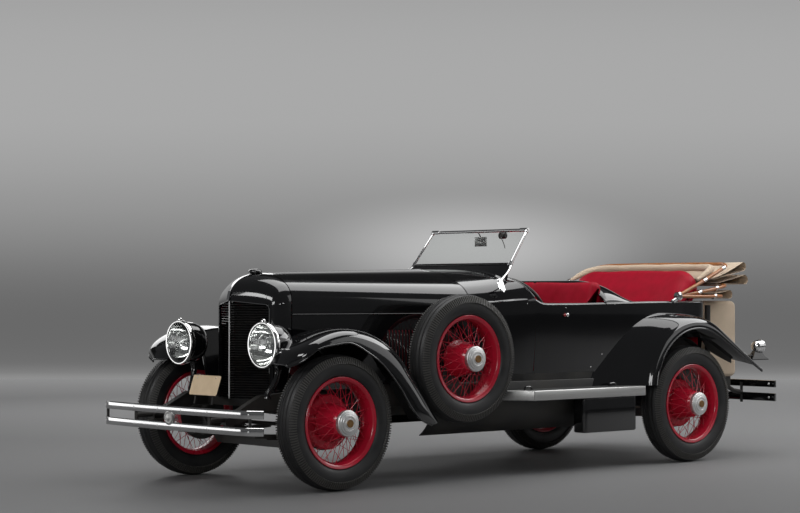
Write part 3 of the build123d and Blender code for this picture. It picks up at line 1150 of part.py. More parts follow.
# Folded top: three bent bows on side pivots: rise of the bow, reach along it, half width at the back
BOWS = ((19.5, 720, 600), (9, 800, 580), (1, 640, 610))
with BuildPart() as top_bows:
    for rise, reach, half_width in BOWS:
        bow_plane = Plane(origin=(FRONT_AXLE_X + TOP_PIVOT_X, 0, TOP_PIVOT_Z), x_dir=(-cos(radians(rise)), 0,
                          sin(radians(rise))), z_dir=(sin(radians(rise)), 0, cos(radians(rise))))
        with BuildSketch(bow_plane):
            with BuildLine():
                FilletPolyline((0, TOP_PIVOT_Y), (reach, half_width), (reach, -half_width), (0, -TOP_PIVOT_Y), radius=90)
                Polyline((0, -TOP_PIVOT_Y), (0, BOW - TOP_PIVOT_Y))
                FilletPolyline((0, BOW - TOP_PIVOT_Y), (reach - BOW, BOW - half_width), (reach - BOW, half_width - BOW),
                               (0, TOP_PIVOT_Y - BOW), radius=60)
                Polyline((0, TOP_PIVOT_Y - BOW), (0, TOP_PIVOT_Y))
            make_face()
        extrude(amount=BOW / 2, both=True)
    with BuildSketch(side(TOP_PIVOT_Y)):
        with Locations((TOP_PIVOT_X, (REAR_BELT_Z + TOP_PIVOT_Z) / 2)):
            Rectangle(70, TOP_PIVOT_Z - REAR_BELT_Z + BOW)
    extrude(amount=BOW)
    mirror(about=Plane.XZ)
    with BuildSketch(level(REAR_BELT_Z)):
        with Locations((-3500, 0)):
            Rectangle(2000, 1600)
    extrude(amount=-100, mode=Mode.SUBTRACT)

# Folded canvas: one soft bundle over the bows' backs
with BuildPart() as top_canvas:
    with BuildSketch(side(CANVAS_HALF_WIDTH)):
        with BuildLine():
            FilletPolyline((-3560, 1225), (-3490, 1345), (-3560, 1400), (-4100, 1405), (-4165, 1330), (-4120, 1210),
                           radius=30, close=True)
        make_face()
    extrude(amount=2 * CANVAS_HALF_WIDTH)
    add(top_bows.part, mode=Mode.SUBTRACT)
    add(rear_seat.part, mode=Mode.SUBTRACT)

# Trunk: a soft-edged box on the rail tails
with BuildPart() as trunk:
    with BuildSketch(side(TRUNK_HALF_WIDTH)):
        with BuildLine():
            FilletPolyline((-3705, TAIL_TOP_Z), (-3705, 1115), (-4065, 1115), (-4065, TAIL_TOP_Z), radius=45, close=True)
        make_face()
    extrude(amount=2 * TRUNK_HALF_WIDTH)

# Finished pieces, one file each
FINISHED = {
    "frame_rails": frame_rails, "cross_members": cross_members, "leaf_springs": leaf_springs,
    "front_axle": front_axle, "rear_axle": rear_axle, "engine": engine, "exhaust": exhaust,
    "fuel_tank": fuel_tank, "knuckle_left": knuckle_left, "knuckle_right": knuckle_right, "tie_rod": tie_rod,
    "spare_wheels": spare_wheels, "spare_tyres": spare_tyres, "spare_posts": spare_posts,
    "radiator_shell": radiator_shell, "radiator_slats": radiator_slats, "hood_left": hood_left,
    "hood_right": hood_right, "hood_sides": hood_sides, "cowl": cowl, "body_sides": body_sides,
    "body_back": body_back, "floor": floor, "bulkhead": bulkhead, "front_seat": front_seat,
    "rear_seat": rear_seat, "instrument_panel": instrument_panel, "steering_column": steering_column,
    "steering_wheel": steering_wheel, "windshield_frame": windshield_frame,
    "windshield_glass": windshield_glass, "front_fenders": front_fenders, "rear_fenders": rear_fenders,
    "running_boards": running_boards, "side_aprons": side_aprons, "board_boxes": board_boxes,
    "headlamps": headlamps, "headlamp_lenses": headlamp_lenses, "front_bumper": front_bumper,
    "rear_bumper": rear_bumper, "tail_lamps": tail_lamps, "number_plate": number_plate,
    "wheel_houses": wheel_houses, "top_bows": top_bows, "top_canvas": top_canvas, "trunk": trunk,
}
for name, piece in FINISHED.items():
    piece.part.label = name
    export_step(piece.part, f"parts/{name}.step")
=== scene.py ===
"""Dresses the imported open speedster: lacquer, plating, rubber, leather, canvas and glass on its frame."""
from math import acos, asin, atan2, cos, hypot, pi, radians, sin, sqrt

import bmesh
import bpy
from mathutils import Matrix, Vector


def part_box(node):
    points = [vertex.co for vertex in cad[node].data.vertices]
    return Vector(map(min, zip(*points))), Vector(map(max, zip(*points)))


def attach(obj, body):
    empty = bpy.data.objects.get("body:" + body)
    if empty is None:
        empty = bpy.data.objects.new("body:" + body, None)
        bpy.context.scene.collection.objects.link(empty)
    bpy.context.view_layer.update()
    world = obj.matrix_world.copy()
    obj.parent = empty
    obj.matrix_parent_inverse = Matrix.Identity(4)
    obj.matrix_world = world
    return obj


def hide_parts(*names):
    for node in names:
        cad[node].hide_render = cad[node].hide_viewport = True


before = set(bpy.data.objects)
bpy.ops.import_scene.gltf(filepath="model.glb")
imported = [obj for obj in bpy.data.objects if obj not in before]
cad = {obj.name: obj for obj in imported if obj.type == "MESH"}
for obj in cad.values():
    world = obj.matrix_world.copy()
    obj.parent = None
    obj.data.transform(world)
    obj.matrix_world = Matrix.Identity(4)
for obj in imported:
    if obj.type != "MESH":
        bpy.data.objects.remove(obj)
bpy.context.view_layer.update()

# Camera: a long lens at chest height, in front of the car's left side, looking along the hood.
# Lengths along the car count from the front axle, as on a chassis drawing.
wheel_low, wheel_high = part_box("wheel_front_left")
front_axle = (wheel_low.x + wheel_high.x) / 2
photo_width = 800
focal_pixels = 2010.6
camera_yaw = radians(228.63)
camera_pitch = radians(1.02)


def at(x, y, z):
    """Point x ahead of the front axle, y left of the middle and z above the ground."""
    return Vector((front_axle + x, y, z))


camera_data = bpy.data.cameras.new("photo_camera")
camera_data.sensor_width = 36
camera_data.sensor_fit = "HORIZONTAL"
camera_data.lens = focal_pixels / photo_width * camera_data.sensor_width
camera = bpy.data.objects.new("photo_camera", camera_data)
bpy.context.scene.collection.objects.link(camera)
look = Vector((cos(camera_pitch) * cos(camera_yaw), cos(camera_pitch) * sin(camera_yaw), sin(camera_pitch)))
rightward = look.cross(Vector((0, 0, 1))).normalized()
upward = rightward.cross(look)
camera_turn = Matrix((rightward, upward, -look)).transposed().to_4x4()
camera.matrix_world = Matrix.Translation(at(7.6107, 9.949, 1.1783)) @ camera_turn
bpy.context.scene.camera = camera
bpy.context.scene.view_settings.view_transform = "Standard"

# Studio: a pale floor that sweeps up into a wall far behind the car, under large soft boxes.
# The boxes are long so that the lacquer shows them as bands along the hood and the fender crowns.


def skin(rows, ring=False, loop=False):
    """Quads between rows of points; ring joins the ends of each row, loop the last row to the first."""
    points = [Vector(point) for row in rows for point in row]
    width = len(rows[0])
    quads = []
    for i in range(len(rows) if loop else len(rows) - 1):
        below = i * width
        above = (i + 1) % len(rows) * width
        for k in range(width if ring else width - 1):
            following = (k + 1) % width
            quads.append((below + k, below + following, above + following, above + k))
    return points, quads


def build(name, shapes, *materials, smooth=True, sharp=40):
    """One object from several (points, faces) shapes; the n-th shape takes the n-th material, or the last."""
    mesh = bpy.data.meshes.new(name)
    points, faces, picks = [], [], []
    for number, (shape_points, shape_faces) in enumerate(shapes):
        base = len(points)
        points += shape_points
        faces += [[base + corner for corner in face] for face in shape_faces]
        picks += [min(number, len(materials) - 1)] * len(shape_faces)
    mesh.from_pydata(points, [], faces)
    for material in materials:
        mesh.materials.append(material)
    mesh.polygons.foreach_set("material_index", picks)
    mesh.update()
    if smooth:
        mesh.shade_smooth()
        mesh.set_sharp_from_angle(angle=radians(sharp))
    made = bpy.data.objects.new(name, mesh)
    bpy.context.scene.collection.objects.link(made)
    return made


def soft_box(name, centre, aim, width, height, watts):
    """Rectangular lamp at a point, facing another point."""
    lamp = bpy.data.lights.new(name, "AREA")
    lamp.shape = "RECTANGLE"
    lamp.size = width
    lamp.size_y = height
    lamp.energy = watts
    holder = bpy.data.objects.new(name, lamp)
    bpy.context.scene.collection.objects.link(holder)
    direction = Vector(aim) - Vector(centre)
    holder.matrix_world = Matrix.Translation(centre) @ direction.to_track_quat("-Z", "Y").to_matrix().to_4x4()
    return holder


soft_box("ceiling_back_box", (-5.7, 2.6, 4.8), (-5.7, 2.6, 0), 5.4, 4.4, 250)
soft_box("ceiling_front_box", (-0.55, 0.45, 4.8), (-0.55, 0.45, 0), 4.7, 4.1, 142)
soft_box("rear_left_box", (-6.0, 6.4, 3.7), (0.2, 0.4, 1.0), 6.9, 4.6, 80)
soft_box("camera_box", (10.5, 10.5, 4.2), (0, 0, 0.7), 6.0, 3.0, 300)
soft_box("nose_box", (8.5, 1.5, 5.4), (1.5, 0, 0.7), 5.0, 2.0, 190)
soft_box("front_right_box", (7.2, -6.6, 0.75), (1.5, 0, 0.6), 6.0, 1.4, 36)
soft_box("far_side_box", (-1.0, -8.0, 4.2), (0, 0, 0.7), 7.0, 2.2, 90)

world = bpy.data.worlds.new("studio_air")
world.use_nodes = True
air = world.node_tree.nodes["Background"].inputs
air["Color"].default_value = (0.62, 0.63, 0.65, 1)
air["Strength"].default_value = 0.13
bpy.context.scene.world = world


def feed(tree, socket, value):
    """Gives a node's input a plain value, or joins it to another node's output."""
    if isinstance(value, bpy.types.NodeSocket):
        tree.links.new(value, socket)
    else:
        socket.default_value = value


def wire(tree, kind, inputs=None, **settings):
    """Adds a node to a tree, sets its attributes and feeds its inputs."""
    made = tree.nodes.new(kind)
    for key, value in settings.items():
        setattr(made, key, value)
    for label, value in (inputs or {}).items():
        feed(tree, made.inputs[label], value)
    return made


def new_material(name, **values):
    """Material with plain values on its shader; gives the material, its tree and the shader's inputs."""
    material = bpy.data.materials.new(name)
    material.use_nodes = True
    sockets = material.node_tree.nodes["Principled BSDF"].inputs
    for label, value in values.items():
        sockets[label.replace("_", " ")].default_value = value
    return material, material.node_tree, sockets


def tone_ramp(tree, share, stops, blue, interpolation):
    """Ramp of greys, read at a share from 0 to 1; blue is a little over 1 where they are cool."""
    ramp = wire(tree, "ShaderNodeValToRGB", {0: share})
    ramp.color_ramp.interpolation = interpolation
    tones = ramp.color_ramp.elements
    for place, tone in stops:
        stop = tones.new(place) if 0 < place < 1 else tones[int(place) * -1]
        stop.color = (tone, tone, tone * blue, 1)
    return ramp.outputs[0]


away = Vector((look.x, look.y, 0)).normalized()
sideways = Vector((away.y, -away.x, 0))
floor_end = 13.8
wall_bend = 1.2
wall_height = 16
half_stage = 45
floor_rows = [[away * reach + sideways * side for side in (-half_stage, -15, 0, 15, half_stage)]
              for reach in (-30, -8, 0, 8, floor_end)]
wall_rise = [(wall_bend * sin(pi / 24 * k), wall_bend * (1 - cos(pi / 24 * k))) for k in range(13)]
wall_rise.append((wall_bend, wall_height))
wall_rows = [[away * (floor_end + reach) + sideways * side + Vector((0, 0, rise))
              for side in (-half_stage, 0, half_stage)] for reach, rise in wall_rise]

# The floor's grey ramp darkens towards the camera and its faint glow grows far off: both are painted light
# and shade on the floor.
floor_paper, floor_tree, floor_shader = new_material("studio_floor_paper", Roughness=0.6, Emission_Strength=1)
floor_painted_light_tones = ((0.0, 0.150), (0.2, 0.172), (0.4, 0.245), (0.7, 0.43), (1.0, 0.62))
floor_place = wire(floor_tree, "ShaderNodeTexCoord").outputs["Object"]
floor_dot = wire(floor_tree, "ShaderNodeVectorMath", {0: floor_place, 1: away}, operation="DOT_PRODUCT")
floor_reach = floor_dot.outputs["Value"]
floor_share = wire(floor_tree, "ShaderNodeMapRange", {"Value": floor_reach, "From Min": -5,
                                                      "From Max": floor_end})
floor_glow = wire(floor_tree, "ShaderNodeMapRange", {"Value": floor_reach, "From Min": 2.5,
                                                     "From Max": floor_end, "To Max": 0.15})
floor_painted_light_greys = tone_ramp(floor_tree, floor_share.outputs[0], floor_painted_light_tones, 1.01, "LINEAR")
feed(floor_tree, floor_shader["Base Color"], floor_painted_light_greys)
feed(floor_tree, floor_shader["Emission Color"], floor_glow.outputs[0])

wall_paper, wall_tree, wall_shader = new_material("studio_wall_light", Base_Color=(0, 0, 0, 1), Roughness=1,
                                                  Specular_IOR_Level=0, Emission_Strength=1)
lit_height = 9
# height above the floor, tone
wall_tones = ((0.0, 0.285), (0.066, 0.21), (0.198, 0.15), (0.638, 0.138), (1.06, 0.144), (1.49, 0.181),
              (1.92, 0.242), (2.35, 0.287), (2.92, 0.347), (3.63, 0.402), (5.5, 0.40), (6.6, 0.12),
              (7.6, 0.03), (lit_height, 0.015))
wall_place = wire(wall_tree, "ShaderNodeTexCoord").outputs["Object"]
wall_split = wire(wall_tree, "ShaderNodeSeparateXYZ", {0: wall_place})
wall_share = wire(wall_tree, "ShaderNodeMath", {0: wall_split.outputs["Z"], 1: lit_height},
                  operation="DIVIDE")
wall_stops = [(height / lit_height, tone) for height, tone in wall_tones]
wall_greys = tone_ramp(wall_tree, wall_share.outputs[0], wall_stops, 1.0, "B_SPLINE")
halo_middle = away * (floor_end + wall_bend) + sideways * 0.55 + Vector((0, 0, 1.72))
halo_shift = wire(wall_tree, "ShaderNodeVectorMath", {0: wall_place, 1: halo_middle}, operation="SUBTRACT")
halo_squash = wire(wall_tree, "ShaderNodeVectorMath", {0: halo_shift.outputs[0], 1: (1, 1, 3.2)},
                   operation="MULTIPLY")
halo_reach = wire(wall_tree, "ShaderNodeVectorMath", {0: halo_squash.outputs[0]}, operation="LENGTH")
halo_glow = wire(wall_tree, "ShaderNodeMapRange", {"Value": halo_reach.outputs["Value"], "From Min": 0.2,
                                                   "From Max": 3.1, "To Min": 0.27, "To Max": 0.0},
                 interpolation_type="SMOOTHSTEP")
wall_sum = wire(wall_tree, "ShaderNodeMix", {"Factor": 1, "A": wall_greys, "B": halo_glow.outputs[0]},
                data_type="RGBA", blend_type="ADD")
feed(wall_tree, wall_shader["Emission Color"], wall_sum.outputs["Result"])
build("studio_floor", [skin(floor_rows)], floor_paper)
build("studio_wall", [skin(wall_rows)], wall_paper)

# Lacquer: many coats of black rubbed to a deep gloss, with a faint ripple and a breath of dust.
# The same unevenness group serves every painted, plated or cast finish at its own scale.


def new_group(name, kind, inputs, outputs):
    """Node group with named sockets; gives the group, its inputs as sockets and their identifiers."""
    group = bpy.data.node_groups.new(name, kind)
    identifiers = {}
    for in_out, sockets in (("INPUT", inputs), ("OUTPUT", outputs)):
        for label, socket_type in sockets:
            made = group.interface.new_socket(label, in_out=in_out, socket_type=f"NodeSocket{socket_type}")
            identifiers[label] = made.identifier
    return group, wire(group, "NodeGroupInput").outputs, identifiers


uneven, uneven_in = new_group("uneven_surface", "ShaderNodeTree", (("Scale", "Float"), ("Stretch", "Vector")),
                              (("Patches", "Float"), ("Ripple", "Float")))[:2]
place = wire(uneven, "ShaderNodeTexCoord").outputs["Object"]
stretch = wire(uneven, "ShaderNodeVectorMath", {0: place, 1: uneven_in["Stretch"]},
               operation="MULTIPLY").outputs[0]
patches = wire(uneven, "ShaderNodeTexNoise", {"Vector": stretch, "Scale": uneven_in["Scale"], "Detail": 4})
levels = wire(uneven, "ShaderNodeMapRange", {"Value": patches.outputs[0], "From Min": 0.35, "From Max": 0.7})
finer = wire(uneven, "ShaderNodeMath", {0: uneven_in["Scale"], 1: 14}, operation="MULTIPLY")
ripple = wire(uneven, "ShaderNodeTexNoise", {"Vector": stretch, "Scale": finer.outputs[0], "Detail": 3})
wire(uneven, "NodeGroupOutput", {"Patches": levels.outputs[0], "Ripple": ripple.outputs[0]})


def surface(name, colour, patch_colour, smoothest, roughest, scale, ripple_depth, metallic=0.0, coat=0.0,
            stretch_by=(1, 1, 1)):
    """Material whose colour, roughness and small relief drift over the piece by the unevenness group."""
    material, tree, shader = new_material(name, Metallic=metallic, Coat_Weight=coat, Coat_Roughness=0.03)
    drift = wire(tree, "ShaderNodeGroup", node_tree=uneven)
    drift.inputs["Scale"].default_value = scale
    drift.inputs["Stretch"].default_value = stretch_by
    patch_share = drift.outputs["Patches"]
    blend = wire(tree, "ShaderNodeMix", {"Factor": patch_share, "A": (*colour, 1), "B": (*patch_colour, 1)},
                 data_type="RGBA")
    rough = wire(tree, "ShaderNodeMapRange", {"Value": patch_share, "To Min": smoothest, "To Max": roughest})
    relief = wire(tree, "ShaderNodeBump", {"Strength": 0.5, "Distance": ripple_depth,
                                           "Height": drift.outputs["Ripple"]})
    feed(tree, shader["Base Color"], blend.outputs["Result"])
    feed(tree, shader["Roughness"], rough.outputs[0])
    feed(tree, shader["Normal"], relief.outputs[0])
    return material


black_lacquer = surface("black_lacquer", (0.003, 0.003, 0.0035), (0.005, 0.005, 0.0055), 0.07, 0.13, 2.2,
                        0.00004, coat=1.0)
chassis_paint = surface("chassis_paint", (0.012, 0.012, 0.012), (0.035, 0.032, 0.028), 0.38, 0.62, 5, 0.0004)
crimson_enamel = surface("crimson_enamel", (0.52, 0.012, 0.036), (0.42, 0.009, 0.027), 0.18, 0.30, 6, 0.0001,
                         coat=0.4)
satin_plating = surface("satin_plating", (0.88, 0.88, 0.87), (0.76, 0.76, 0.76), 0.40, 0.50, 20, 0.0001,
                        metallic=1.0)
bright_plating = surface("bright_plating", (0.80, 0.80, 0.80), (0.70, 0.70, 0.70), 0.06, 0.14, 4, 0.00003,
                         metallic=1.0)
step_metal = surface("step_metal", (0.62, 0.62, 0.61), (0.50, 0.50, 0.49), 0.3, 0.45, 7, 0.0003, metallic=1.0,
                     stretch_by=(0.15, 4, 4))
worn_brass = surface("worn_brass", (0.42, 0.25, 0.11), (0.25, 0.14, 0.06), 0.3, 0.5, 30, 0.0002, metallic=1.0)
cast_iron = surface("cast_iron", (0.05, 0.05, 0.05), (0.10, 0.085, 0.07), 0.55, 0.75, 12, 0.0012)
dull_pipe = surface("dull_pipe", (0.10, 0.09, 0.08), (0.18, 0.12, 0.08), 0.4, 0.65, 9, 0.0006, metallic=0.8)


def fasten(made, body, slot_name, *nodes):
    """Lets a piece ride on a body and hides the solids that it stands for; slot_name is not used."""
    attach(made, body)
    if nodes:
        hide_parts(*nodes)
    return made


def lathe(outline, steps, centre=(0, 0, 0), outward=1, closed=True):
    """Turns (radius, offset) points about an axle across the car; outward is 1 left and -1 right."""
    rows = []
    for step in range(steps):
        angle = 2 * pi * step / steps
        rows.append([Vector(centre) + Vector((radius * cos(angle), outward * offset, radius * sin(angle)))
                     for radius, offset in outline])
    points, quads = skin(rows, ring=closed, loop=True)
    if outward > 0:
        quads = [tuple(reversed(quad)) for quad in quads]
    return points, quads


# Tyres: black straight-sided balloon tyres with four road grooves and a notched shoulder.
# Dust stays in the grooves; the notches are moulded bars standing round both shoulders, tinted lighter as a
# painted highlight.
tyre_radius = 0.405
tyre_half_width = 0.0775
groove_depth = 0.006
groove_half_width = 0.0026
groove_places = (-0.036, -0.0125, 0.0125, 0.036)


def crown_height(offset):
    """Radius of the tread at an offset from the tyre's middle."""
    return tyre_radius - 0.017 * (offset / 0.0575) ** 2


tyre_outline = [(0.2745, -0.0535), (0.2575, -0.0525), (0.2575, 0.0525), (0.2745, 0.0535)]
for step in range(1, 12):
    turn = step / 12 * pi * 0.70
    bulge = 0.024 * sin(turn) * (1.0 if turn < pi / 2 else 0.985)
    tyre_outline.append((0.2745 + 0.057 * (1 - cos(turn)), 0.0535 + bulge))
tyre_outline.append((crown_height(0.0575) - 0.004, 0.0625))
tread = [(crown_height(0.0575), 0.0572)]
for middle in reversed(groove_places):
    tread += [(crown_height(middle) - 0.0002, middle + groove_half_width + 0.006),
              (crown_height(middle), middle + groove_half_width),
              (crown_height(middle) - groove_depth, middle + groove_half_width * 0.6),
              (crown_height(middle) - groove_depth, middle - groove_half_width * 0.6),
              (crown_height(middle), middle - groove_half_width),
              (crown_height(middle) - 0.0002, middle - groove_half_width - 0.006)]
tread.append((crown_height(0.0575), -0.0572))
near_wall = list(reversed([(radius, -offset) for radius, offset in tyre_outline[4:]]))
tyre_outline += tread + near_wall

tyre_rubber = surface("tyre_rubber", (0.011, 0.011, 0.012), (0.022, 0.022, 0.022), 0.42, 0.6, 9, 0.0004)
rubber_tree = tyre_rubber.node_tree
rubber_colour = rubber_tree.nodes["Principled BSDF"].inputs["Base Color"]
# The lighter tint marks dust in the grooves and a painted highlight on the shoulder bars.
dust_and_highlight_mark = wire(rubber_tree, "ShaderNodeAttribute", attribute_name="dust_and_highlight").outputs["Fac"]
dust_and_highlight_tint = wire(rubber_tree, "ShaderNodeMix", {"Factor": dust_and_highlight_mark, "A": rubber_colour.links[0].from_socket,
                                                "B": (0.105, 0.101, 0.092, 1)}, data_type="RGBA")
feed(rubber_tree, rubber_colour, dust_and_highlight_tint.outputs["Result"])


def reckon(tree, operation, *values):
    """Maths node on sockets or numbers; gives its result."""
    return wire(tree, "ShaderNodeMath", dict(enumerate(values)), operation=operation).outputs[0]


def ring_point(tree, angle, radius, offset):
    """Point on a circle about the axle, from its angle, its radius and its offset along the axle."""
    across, up = (reckon(tree, "MULTIPLY", reckon(tree, trade, angle), radius)
                  for trade in ("COSINE", "SINE"))
    return wire(tree, "ShaderNodeCombineXYZ", {0: across, 1: offset, 2: up}).outputs[0]


def copies(tree, points, piece, finish, joined=None, **turns):
    """Ends a tree with real copies of a piece on points, in their finish, joined to what was there."""
    placed = wire(tree, "GeometryNodeInstanceOnPoints", {"Points": points, "Instance": piece, **turns})
    real = wire(tree, "GeometryNodeRealizeInstances", {0: placed.outputs[0]})
    result = wire(tree, "GeometryNodeSetMaterial", {"Geometry": real.outputs[0], "Material": finish})
    if joined is not None:
        dressed = result.outputs[0]
        result = wire(tree, "GeometryNodeJoinGeometry", {0: joined})
        feed(tree, result.inputs[0], dressed)
    wire(tree, "NodeGroupOutput", {0: result.outputs[0]})


geometry = (("Geometry", "Geometry"),)
bar_inputs = (("Bars", "Int"), ("Radius", "Float"), ("Offset", "Float"), ("Tilt", "Float"),
              ("Size", "Vector"), ("Rubber", "Material"))
bar_tree, bar_in, bar_sockets = new_group("shoulder_bars", "GeometryNodeTree", geometry + bar_inputs,
                                          geometry)
bar_share = reckon(bar_tree, "DIVIDE", wire(bar_tree, "GeometryNodeInputIndex").outputs[0], bar_in["Bars"])
bar_angle = reckon(bar_tree, "MULTIPLY", bar_share, 2 * pi)
bar_place = ring_point(bar_tree, bar_angle, bar_in["Radius"], bar_in["Offset"])
bar_lean = reckon(bar_tree, "SUBTRACT", pi / 2, bar_angle)
bar_turn = wire(bar_tree, "ShaderNodeCombineXYZ", {0: bar_in["Tilt"], 1: bar_lean})
bar_points = wire(bar_tree, "GeometryNodePoints", {"Count": bar_in["Bars"], "Position": bar_place})
bar_block = wire(bar_tree, "GeometryNodeMeshCube", {"Size": bar_in["Size"]})
copies(bar_tree, bar_points.outputs[0], bar_block.outputs["Mesh"], bar_in["Rubber"], bar_in["Geometry"],
       Rotation=bar_turn.outputs[0])


def grow(made, tree, sockets, **values):
    """Runs a node tree on an object with named inputs and keeps the result as its plain mesh."""
    modifier = made.modifiers.new("grow", "NODES")
    modifier.node_group = tree
    for label, value in values.items():
        modifier[sockets[label.replace("_", " ")]] = value
    bpy.context.view_layer.update()
    grown = bpy.data.meshes.new_from_object(made.evaluated_get(bpy.context.evaluated_depsgraph_get()))
    made.modifiers.remove(modifier)
    made.data = grown
    return made


def make_tyre(name, centre, outward):
    """Grooved tyre with both rings of shoulder bars, at the origin until its place is applied."""
    made = build(name, [lathe(tyre_outline, 160)], tyre_rubber, sharp=50)
    plain_count = len(made.data.vertices)
    for flank in (1, -1):
        grow(made, bar_tree, bar_sockets, Bars=152, Radius=0.3700, Offset=flank * 0.0690, Tilt=flank * 0.42,
             Size=(0.0078, 0.0130, 0.046), Rubber=tyre_rubber)
    bar_corners = len(made.data.vertices) - plain_count
    mark = made.data.attributes.new("dust_and_highlight", "FLOAT", "POINT")
    for vertex in made.data.vertices:
        depth = crown_height(vertex.co.y) - hypot(vertex.co.x, vertex.co.z)
        near = min(abs(vertex.co.y - middle) for middle in groove_places)
        in_groove = abs(vertex.co.y) < 0.05 and depth > 0.003 and near < 0.004
        # Grooves take most of the tint as dust; the vertices counted as bars take half of it as a painted
        # highlight.
        mark.data[vertex.index].value = 0.8 if in_groove else 0.5 if vertex.index < bar_corners else 0.0
    made.data.transform(Matrix.Translation(centre) @ Matrix.Rotation(0 if outward > 0 else pi, 4, "Z"))
    return made


def middle_of(node):
    """Middle of a node's box."""
    low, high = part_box(node)
    return (low + high) / 2


corners = {"front_left": 1, "front_right": -1, "rear_left": 1, "rear_right": -1}
for corner, outward in corners.items():
    road_tyre = make_tyre(f"road_tyre_{corner}", middle_of(f"tyre_{corner}"), outward)
    fasten(road_tyre, f"wheel_{corner}", "tyre_rubber", f"tyre_{corner}")
spare_low, spare_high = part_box("spare_tyres")
spare_places = {side: Vector(((spare_low.x + spare_high.x) / 2, side * (spare_high.y - tyre_half_width),
                              (spare_low.z + spare_high.z) / 2)) for side in (1, -1)}
for side, spare_name in ((1, "spare_tyre_left"), (-1, "spare_tyre_right")):
    fasten(make_tyre(spare_name, spare_places[side], side), "chassis", "tyre_rubber", "spare_tyres")

# Wire wheels: crimson rims laced to a tapered hub shell with crossed rows of thin spokes.
# A plated cap with turned rings and a brass nut closes the hub; a brake drum sits behind it.
spoke_inputs = (("Spokes", "Int"), ("Hub Radius", "Float"), ("Hub Offset", "Float"),
                ("Rim Radius", "Float"), ("Rim Offset", "Float"), ("Lean", "Float"), ("Start", "Float"),
                ("Wire", "Float"), ("Enamel", "Material"))
spoke_tree, spoke_in, spoke_sockets = new_group("spoke_row", "GeometryNodeTree", geometry + spoke_inputs,
                                                geometry)
spoke_share = reckon(spoke_tree, "DIVIDE", wire(spoke_tree, "GeometryNodeInputIndex").outputs[0],
                     spoke_in["Spokes"])
foot_angle = reckon(spoke_tree, "ADD", reckon(spoke_tree, "MULTIPLY", spoke_share, 2 * pi), spoke_in["Start"])
head_angle = reckon(spoke_tree, "ADD", foot_angle, spoke_in["Lean"])
spoke_foot = ring_point(spoke_tree, foot_angle, spoke_in["Hub Radius"], spoke_in["Hub Offset"])
spoke_head = ring_point(spoke_tree, head_angle, spoke_in["Rim Radius"], spoke_in["Rim Offset"])
spoke_aim = wire(spoke_tree, "ShaderNodeVectorMath", {0: spoke_head, 1: spoke_foot},
                 operation="SUBTRACT").outputs[0]
spoke_span = wire(spoke_tree, "ShaderNodeVectorMath", {0: spoke_aim}, operation="LENGTH").outputs["Value"]
spoke_scale = wire(spoke_tree, "ShaderNodeCombineXYZ", {0: 1, 1: 1, 2: spoke_span})
spoke_turn = wire(spoke_tree, "FunctionNodeAlignRotationToVector", {"Vector": spoke_aim}, axis="Z")
spoke_rod = wire(spoke_tree, "GeometryNodeMeshCylinder", {"Vertices": 7, "Depth": 1,
                                                          "Radius": spoke_in["Wire"]})
spoke_lift = wire(spoke_tree, "GeometryNodeTransform", {"Geometry": spoke_rod.outputs["Mesh"],
                                                        "Translation": (0, 0, 0.5)})
spoke_points = wire(spoke_tree, "GeometryNodePoints", {"Count": spoke_in["Spokes"], "Position": spoke_foot})
copies(spoke_tree, spoke_points.outputs[0], spoke_lift.outputs[0], spoke_in["Enamel"], spoke_in["Geometry"],
       Rotation=spoke_turn.outputs[0], Scale=spoke_scale.outputs[0])

rim_outline = [(0.246, -0.048), (0.2465, -0.054), (0.252, -0.061), (0.262, -0.0645), (0.270, -0.066),
               (0.2735, -0.0635), (0.2735, -0.060), (0.268, -0.0575), (0.2575, -0.054), (0.2562, -0.05),
               (0.2562, 0.05), (0.2575, 0.054), (0.268, 0.0575), (0.2735, 0.060), (0.2735, 0.0635),
               (0.270, 0.066), (0.262, 0.0645), (0.252, 0.061), (0.2465, 0.054), (0.246, 0.048),
               (0.2395, 0.036), (0.2365, 0.015), (0.2365, -0.015), (0.2395, -0.036)]
hub_outline = [(0.030, -0.052), (0.112, -0.052), (0.1175, -0.046), (0.1185, -0.030), (0.1165, -0.018),
               (0.111, -0.008), (0.1085, 0.004), (0.0965, 0.048), (0.0865, 0.082), (0.0815, 0.094),
               (0.0765, 0.101), (0.074, 0.108), (0.030, 0.108)]
drum_outline = [(0.062, -0.053), (0.158, -0.055), (0.1645, -0.060), (0.165, -0.066), (0.163, -0.069),
                (0.165, -0.072), (0.165, -0.094), (0.157, -0.0945), (0.157, -0.060), (0.062, -0.058)]
cap_outline = [(0.060, 0.104), (0.0785, 0.105), (0.0795, 0.108), (0.0795, 0.126), (0.0785, 0.1295),
               (0.0755, 0.132), (0.0665, 0.1335), (0.0655, 0.137), (0.0635, 0.1385), (0.0535, 0.1392),
               (0.0525, 0.1425), (0.0505, 0.1435), (0.042, 0.1438), (0.0405, 0.1415), (0.031, 0.1412),
               (0.0295, 0.144), (0.0, 0.1445)]
# hub radius, hub offset, rim offset, lean in degrees, start in degrees
spoke_rows = ((0.079, 0.096, 0.030, 27, 0), (0.083, 0.088, 0.012, -27, 11.25),
              (0.113, -0.016, -0.010, 34, 5.6), (0.116, -0.026, -0.028, -34, 16.9))
spokes_in_row = 16


